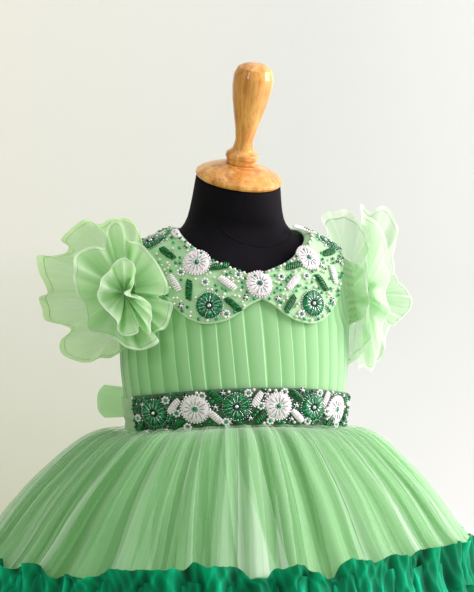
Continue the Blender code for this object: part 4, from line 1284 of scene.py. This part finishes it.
def hem_layer(first, last, columns, lines, seed, crumple):
    """One layer of the hem's frill, through lines at given distances out from and up the hem."""
    share = np.linspace(first, last, columns)
    hem = skirt_layer(first, last, columns, 2, 0.0, 0.0, (), 0)[0][-1]
    turn = 2 * math.pi * share
    away = np.stack([np.sin(turn), -np.cos(turn), 0 * turn], -1)
    wave = flute_wave(share + 0.003 * seed)
    in_front = step_up(0.23, 0.19, np.abs(share + 0.04))
    tuft = curve(HEM_TUFTS, 1000 * (hem @ VIEW_RIGHT)) / 1000
    rows, tones = [], []
    keys = np.linspace(0.0, 1.0, len(lines))
    for step in np.linspace(0.0, 1.0, 13):
        out, up, swing, lift, raised = (np.interp(step, keys, column) for column in zip(*lines))
        crease = crumpled(share, step, seed)
        free = min(1.0, swing / 0.003)
        point = hem + away * (out + swing * wave + crumple * free * crease)[:, None]
        high = lift * (wave + 0.8 * ripple((share, np.full(columns, 3.0 * step)), seed + 5, 26.0, 2))
        point[:, 2] += up + high * (1 - raised * in_front) + raised * in_front * (tuft + 0.0016 * crease)
        rows.append(point)
        # Painted shade in the troughs of the creases and waves, painted light on their ridges.
        tones.append(np.clip(0.48 + 0.26 * crease + 0.12 * wave, 0.0, 1.0))
    return np.array(rows), np.array(tones)


def crumpled(share, step, seed):
    """Sharp small creases that fan out from the stitch line, from about -1 to 1."""
    made = np.random.RandomState(seed)
    total = 0.0
    for count, size in ((41, 0.55), (83, 0.50), (157, 0.35)):
        bend, slant = made.uniform(0, 2 * math.pi, 2), made.uniform(-0.010, 0.010)
        turn = 2 * math.pi * (share + slant * step)
        slow, quick = np.sin(9 * turn + bend[0]), np.sin(23 * turn + bend[1] + 2.0 * step)
        phase = count * turn + 2.5 * slow + 1.5 * quick
        total = total + size * (1.0 - 2.0 * np.abs(np.sin(0.5 * phase)) ** 0.8)
    return total


# Where the upper ruffle's free edge stands above or below the hem in front, in millimetres:
# across in the camera's view, up
HEM_TUFTS = (
    (-240, 9), (-212, 9), (-200, 1), (-185, 8), (-167, 4), (-150, -1), (-130, -1), (-120, 4), (-70, 9),
    (-46, 8), (-34, 15), (-19, 10), (2, 11), (14, -1), (25, -2), (35, 8), (47, 11), (68, 2), (82, -2),
    (91, 7), (117, 10), (146, 10), (162, 12), (179, 13), (210, 13), (240, 12),
)


def make_hem_frill():
    # Lines along the ruffle: out, up, how far it swings out and up, how far it follows the tufts
    upper = (
        (0.0130, 0.0080, 0.0050, 0.0030, 1.0), (0.0125, 0.0035, 0.0045, 0.0010, 0.5),
        (0.0120, -0.0011, 0.0040, 0.0000, 0.1), (0.0130, -0.0110, 0.0050, 0.0010, 0.0),
        (0.0155, -0.0220, 0.0070, 0.0020, 0.0),
    )
    lower = (
        (0.0075, 0.0045, 0.0010, 0.0000, 0.0), (0.0110, -0.0140, 0.0040, 0.0000, 0.0),
        (0.0150, -0.0280, 0.0065, 0.0010, 0.0), (0.0180, -0.0410, 0.0090, 0.0030, 0.0),
    )
    half_round = math.pi * 0.26
    for name, (low, high) in HALVES.items():
        for piece, replaced, lines, cut, seed in (
            (f"hem_ruffle_top_{name}", (), upper, 0.042, 3),
            (f"hem_ruffle_{name}", [f"hem_frill_{name}"], lower, 0.044, 8),
        ):
            grid, tone = hem_layer(low, high, 1001, lines, seed, 0.0024)
            down = np.linspace(cut, 0.0, len(grid))
            sheet = {"across": half_round, "down": down, "tone": tone}
            made = cloth(piece, grid, "green_frill", frill_net, replaced, **sheet)


# The sleeves


def facing(side, tilt):
    turn = math.radians(tilt)
    out = np.array([side * math.cos(turn), -math.sin(turn), 0.0])
    forward = np.array([-side * math.sin(turn), -math.cos(turn), 0.0])
    return out, forward


def ring_points(side, centre, tilt, across, upward, turn):
    _, forward = facing(side, tilt)
    middle = np.array([side * centre[0], -centre[1], centre[2]])
    up = np.array([0.0, 0.0, 1.0])
    reach_across = np.asarray(across * np.cos(turn))[..., None]
    reach_up = np.asarray(upward * np.sin(turn))[..., None]
    return middle + forward * reach_across + up * reach_up


def sleeve_points(label, side, turn, along):
    centre, tilt, across, upward = SLEEVE_MOUTHS[label]
    mouth = ring_points(side, centre, tilt, across, upward, turn)
    angle = 90.0 - (ARMHOLE_HALF_ANGLE + 1.2) * np.cos(turn)
    height = ARMHOLE_HEIGHT + (ARMHOLE_HALF_HEIGHT + 0.001) * np.sin(turn)
    root_offset, puff = 0.0052, 0.004
    root = body(side * angle, height, root_offset)
    out, _ = facing(side, tilt)
    return root + (mouth - root) * along + out * (puff * math.sin(math.pi * along))


def frill_roots(label, side, turn, share):
    nudge, standoff, drop = 0.05, 0.0015, 0.0010
    start = sleeve_points(label, side, turn, share)
    axis = unit(start - sleeve_points(label, side, turn, share - nudge))
    after, before = (sleeve_points(label, side, turn + step, share) for step in (nudge, -nudge))
    around = after - before
    clear = unit(np.cross(around, axis)) * -side
    past = share**4
    return start + clear * standoff * (1 - 0.7 * past) + axis * drop * past


def view_point(across, up, near):
    """The point that the camera sees at a place in the torso's plane, so far toward the camera."""
    scale = (VIEW_DISTANCE - near) / VIEW_DISTANCE
    flat = VIEW_RIGHT * (across * scale)[:, None] + VIEW_TOWARD * near[:, None]
    return flat + np.array([0.0, 0.0, 1.0]) * (VIEW_HEIGHT + up * scale)[:, None]


def closed_curve(points, count):
    """A smooth closed line through points, with count points evenly along it."""
    steps = np.linspace(0.0, 1.0, 25)[:-1, None]
    runs = []
    for k in range(len(points)):
        a, b, c, d = (points[(k + i - 1) % len(points)] for i in range(4))
        turn = 0.5 * (2 * b + (c - a) * steps + (2 * a - 5 * b + 4 * c - d) * steps**2)
        runs.append(turn + 0.5 * (3 * b - a - 3 * c + d) * steps**3)
    line = np.concatenate(runs)
    line = np.concatenate([line, line[:1]])
    length = np.concatenate([[0.0], np.cumsum(np.linalg.norm(np.diff(line, axis=0), axis=1))])
    places = length[-1] * np.arange(count) / count
    return np.stack([np.interp(places, length, line[:, k]) for k in range(3)], -1)


def ring_normals(grid):
    """Directions out of the surface of a grid that is closed round."""
    around = np.roll(grid, -1, 1) - np.roll(grid, 1, 1)
    return unit(np.cross(around, np.gradient(grid, axis=0)) + 1e-12)


def frill_grid(label, side, name, root, tilt):
    """A frill's points, from where it is sewn on to the free edge that the camera sees."""
    columns, rows = 640, 21
    table = np.array(FRILL_EDGES[label][name], float) + SLEEVE_SIGHTS[label]
    edge = closed_curve(view_point(*(table / 1000).T), columns)
    middle = edge.mean(0)
    out, forward = facing(side, tilt)
    angle = np.unwrap(np.arctan2(edge[:, 2] - middle[2], (edge - middle) @ forward))
    way = 1.0 if angle[-1] > angle[0] else -1.0
    even = way * 2 * math.pi * np.arange(columns) / columns
    start = frill_roots(label, side, even + (angle - even).mean(), root)
    if name in FUNNELS:
        narrow, deep = FUNNELS[name]
        mouth = start.mean(0)
        start = mouth + (start - mouth) * narrow - out * deep
    steps = np.linspace(0.0, 1.0, rows)
    return np.array([start + (edge - start) * (s + 0.18 * math.sin(math.pi * s)) for s in steps])


def make_frill(label, side, name, root, tilt, seed):
    """One ring of organza frill, gathered where it is sewn on, with a doubled hem."""
    grid = frill_grid(label, side, name, root, tilt)
    rows, columns = grid.shape[:2]
    share = np.arange(columns) / columns
    along = np.linspace(0.0, 1.0, rows)[:, None]
    bulge = 0.25 + 3.0 * along * (1 - along)
    folds = ripple_round(share, seed, 6 if name == "outer" else 9)
    small = ripple_round(share + 0.006 * along, seed + 1, 23)
    swell = 0.0034 * bulge * folds + 0.0005 * bulge * small
    grid = grid + ring_normals(grid) * swell[..., None]
    # Painted shade: darker toward where the frill is sewn on, in the sleeve's recess, and in the troughs of
    # its folds; lighter on the ridges. The same tone sets how much it hides.
    ground, rise = (0.48, 0.20) if name == "outer" else (0.30, 0.36)
    tone = ground + rise * along + 0.16 * folds * bulge + 0.06 * small * bulge
    width, length = cut_of(grid, True)
    made = cloth(
        f"organza_{name}_{label}",
        grid,
        "mint_organza",
        frill_cloths[name, label],
        [f"sleeve_frill_{name}_{label}"],
        closed=True,
        across=width,
        down=np.linspace(length, 0.0, rows),
        tone=np.clip(tone, 0.0, 1.0),
    )


def ripple_round(share, seed, waves):
    """Uneven waves round a closed ring."""
    made = np.random.RandomState(seed)
    total = 0.0
    for times, part in ((waves, 1.0), (waves + 5, 0.7), (2 * waves + 3, 0.45)):
        total = total + part * np.sin(2 * math.pi * times * share + made.uniform(0, 2 * math.pi))
    return total / 1.6


def make_sleeves():
    for side, label in ((-1, "right"), (1, "left")):
        columns, rows, gathers, depth = 96, 9, 24, 0.0008
        turn = 2 * math.pi * np.arange(columns) / columns
        out, _ = facing(side, SLEEVE_MOUTHS[label][1])
        grid = []
        for along in np.linspace(0.0, 1.0, rows):
            points = sleeve_points(label, side, turn, along)
            gathered = depth * np.sin(gathers * turn) * math.sin(math.pi * along)
            grid.append(points + out * gathered[:, None])
        grid = np.array(grid)
        uneven = ripple_round(turn / (2 * math.pi), 3, 31)
        # Painted shade in the gathers' troughs and painted light on their ridges, with uneven random tone.
        tone = np.clip(0.5 + 0.3 * np.sin(gathers * turn) + 0.25 * uneven, 0.0, 1.0)
        width, length = cut_of(grid, True)
        made = cloth(
            f"organza_cap_{label}",
            grid,
            "mint_organza",
            sash_organza,
            [f"sleeve_cap_{label}"],
            closed=True,
            across=width,
            down=np.linspace(length, 0.0, rows),
            tone=tone,
        )
        for k, (name, root, tilt) in enumerate(SLEEVE_FRILLS[label]):
            make_frill(label, side, name, root, tilt, 50 + 10 * k + (side > 0))


# The sash and the bow


def make_sash():
    for label, side in (("right", -1), ("left", 1)):
        angles = side * np.linspace(BELT_HALF_ANGLE + 0.4, 179.8, 90)
        pleats, depth, lowest, width_up = 3, 0.0005, 0.0030, 0.0320
        grid = []
        for level in np.linspace(0.0, 1.0, 13):
            pleat = depth * math.sin(2 * math.pi * pleats * level)
            height = waist_height(angles) + lowest + width_up * level
            grid.append(body(angles, height, SASH_OFFSET + pleat))
        grid = np.array(grid)[:, ::side]
        width, length = cut_of(grid)
        name = f"sash_band_{label}"
        made = cloth(name, grid, "mint_organza", sash_organza, [f"sash_{label}"], across=width)


def knot_centre():
    back = torso(np.array(180.0), np.array(BOW_HEIGHT))[1]
    sash_lift, sash_wall, gap = 0.0053, 0.0014, 0.0003
    outside = back + sash_lift + sash_wall + gap
    return np.array([0.0, outside + KNOT_HALF_SIZE[1], BOW_HEIGHT])


def make_bow():
    centre = knot_centre()
    columns = 48
    turn = 2 * math.pi * np.arange(columns) / columns
    grid = []
    for level in np.linspace(0.04, 0.96, 15):
        height = -math.cos(math.pi * level)
        flat = math.sin(math.pi * level) ** 0.8
        crease = 1 + 0.035 * np.sin(9 * turn)
        x = KNOT_HALF_SIZE[0] * flat * np.cos(turn) * crease
        y = KNOT_HALF_SIZE[1] * flat * np.sin(turn) * crease
        z = np.full(columns, KNOT_HALF_SIZE[2] * height)
        grid.append(centre + np.stack([x, y, z], -1))
    grid = np.array(grid)
    made = cloth("bow_wrap", grid, "mint_organza", sash_organza, ["bow_knot"], closed=True, across=0.08)
    for label, side in (("right", -1), ("left", 1)):
        make_bow_loop(label, side)
        make_bow_tail(label, side)


def make_bow_loop(label, side):
    length, front, depth, half_band = 0.106, 0.0845, 0.022, 0.017
    along = np.linspace(-1.0, 1.0, 81)
    reach = 0.5 * (1 + np.cos(math.pi * along))
    grid = []
    for across in np.linspace(-1.0, 1.0, 21):
        out = KNOT_HALF_SIZE[0] + length * reach**0.8 - 0.008 * abs(across) ** 3 * reach
        back = front + 0.5 * depth * (1 + 0.8 * np.sin(math.pi * along) + 0.25 * along)
        crease = 0.0012 * math.sin(11 * across) * (1 - reach) ** 0.7
        height = BOW_HEIGHT + 0.004 * reach + across * half_band * (0.42 + 0.58 * reach**0.6)
        grid.append(np.stack([side * out, back + crease, height], -1))
    grid = np.array(grid)[:, ::side]
    width, length = cut_of(grid)
    name = f"bow_ribbon_{label}"
    made = cloth(name, grid, "mint_organza", bow_organza, [f"bow_loop_{label}"], across=width)


def make_bow_tail(label, side):
    knot = knot_centre()
    steps = np.concatenate([[0.0], 0.16 + 0.51 * np.linspace(0.0, 1.0, 30)])
    grid = []
    for across in np.linspace(-1.0, 1.0, 13):
        out = 0.0055 + 0.0040 * across
        below = KNOT_HALF_SIZE[2] * math.sqrt(1 - (out / KNOT_HALF_SIZE[0]) ** 2)
        row = [knot + np.array([side * out, 0.0, -below - 0.0006])]
        for along in steps[1:]:
            half_band = 0.006 + 0.012 * min(1.0, 2.2 * (along - 0.10))
            share = 0.5 - side * (0.018 + 0.030 * along)
            base = skirt_base(np.array(share), np.array(along))
            lift = 0.0050 + 0.0098 * along**0.8 + 0.001 * math.sin(3 * (along - 0.16) / 0.085)
            wave = 0.0012 * math.cos(3 * across + 20 * along)
            row.append(base + np.array([side * across * half_band, 0.4 * lift, 0.9 * lift + wave]))
        grid.append(row)
    grid = np.array(grid)[:, ::side]
    width, length = cut_of(grid)
    name = f"bow_end_{label}"
    made = cloth(name, grid, "mint_organza", bow_organza, [f"bow_tail_{label}"], across=width)


# The studio


def soft_light(name, location, aim, size, power, colour=(1, 1, 1)):
    data = bpy.data.lights.new(name, "AREA")
    data.shape = "RECTANGLE"
    data.size, data.size_y = size
    data.energy = power
    data.color = colour
    lamp = bpy.data.objects.new(name, data)
    bpy.context.scene.collection.objects.link(lamp)
    lamp.location = location
    lamp.rotation_mode = "QUATERNION"
    lamp.rotation_quaternion = (Vector(aim) - Vector(location)).to_track_quat("-Z", "Y")


def wall_material():
    """A pale wall with painted shade, darker low down at one side, and clear when seen from behind it."""
    made, tree = new_material("pale_wall")
    coordinates = texture_place(tree)
    uneven = math_node(tree, "MULTIPLY", noise(tree, coordinates, 1.4, 1.0), 0.08)
    place_on_wall = node(tree, "ShaderNodeSeparateXYZ", {"Vector": coordinates}).outputs
    side_share = moved_range(tree, math_node(tree, "ADD", place_on_wall["X"], uneven), -0.06, 0.34)
    height_share = moved_range(tree, place_on_wall["Z"], 0.12, 0.50)
    # Painted light and shade: the wall's colour is graded from side to side.
    wall = ramp(tree, side_share, (0.0, (0.84, 0.86, 0.77)), (1.0, (0.68, 0.72, 0.67)))
    lit_share = math_node(tree, "MAXIMUM", side_share, height_share)
    # Painted shade: low down at the left side the wall takes this darker colour.
    colour = mix_colour(tree, lit_share, (0.475, 0.515, 0.370, 1.0), wall)
    surface = shiny(tree, {"Base Color": colour, "Roughness": 0.9, "Specular IOR Level": 0.1})
    clear = node(tree, "ShaderNodeBsdfTransparent").outputs[0]
    reverse = node(tree, "ShaderNodeNewGeometry").outputs["Backfacing"]
    whole = node(tree, "ShaderNodeMixShader", {0: reverse, 1: surface, 2: clear}).outputs[0]
    return set_surface(made, tree, whole)


def make_stage():
    """A floor that curves up into a pale wall close behind the stand."""
    bend, behind, half = 0.45, 0.75, 6.0
    front, top = -4.0, 5.0
    profile = [(front, 0.0), (behind - bend, 0.0)]
    for k in range(1, 17):
        turn = 0.5 * math.pi * k / 16
        profile.append((behind - bend + bend * math.sin(turn), bend - bend * math.cos(turn)))
    profile.append((behind, top))
    points = []
    for distance, height in profile:
        for reach in (-half, half):
            points.append((*(VIEW_RIGHT * reach - VIEW_TOWARD * distance)[:2], height))
    faces = [(2 * k, 2 * k + 1, 2 * k + 3, 2 * k + 2) for k in range(len(profile) - 1)]
    backdrop = new_object("backdrop", points, faces)
    backdrop.data.materials.append(wall_material())


def make_lights():
    world = bpy.data.worlds.new("studio")
    world.use_nodes = True
    world.node_tree.nodes["Background"].inputs["Color"].default_value = (1.0, 0.99, 0.97, 1.0)
    world.node_tree.nodes["Background"].inputs["Strength"].default_value = 0.45
    bpy.context.scene.world = world
    soft_light("window", (2.25, -0.75, 1.3), (0.0, 0.0, 0.35), (1.4, 1.8), 104.0, (1.0, 0.86, 0.98))
    soft_light("fill", (-1.6, -1.7, 1.0), (0.0, 0.0, 0.42), (0.35, 1.0), 9.0, (1.0, 0.98, 0.95))
    soft_light("top", (0.2, -0.3, 2.3), (0.0, 0.0, 0.3), (1.6, 1.6), 10.0)


def make_camera():
    data = bpy.data.cameras.new("camera")
    camera = bpy.data.objects.new("camera", data)
    bpy.context.scene.collection.objects.link(camera)
    data.sensor_width = 36.0
    data.lens = 36.0 / 2 * VIEW_DISTANCE / VIEW_HALF_HEIGHT
    data.clip_start, data.clip_end = 0.05, 30.0
    toward, right = Vector(VIEW_TOWARD), Vector(VIEW_RIGHT)
    camera.location = toward * VIEW_DISTANCE + right * AXIS_SHIFT + Vector((0.0, 0.0, VIEW_HEIGHT))
    camera.rotation_euler = (math.pi / 2, 0.0, -VIEW_TURN)
    bpy.context.scene.camera = camera
    bpy.context.scene.view_settings.view_transform = "Standard"


make_camera()
make_stage()
make_lights()
make_form()
make_neck_seam()
make_bodice()
make_collar()
make_collar_beads()
make_belt()
make_belt_beads()
make_flowers()
make_skirt()
make_hem_frill()
make_sleeves()
make_sash()
make_bow()
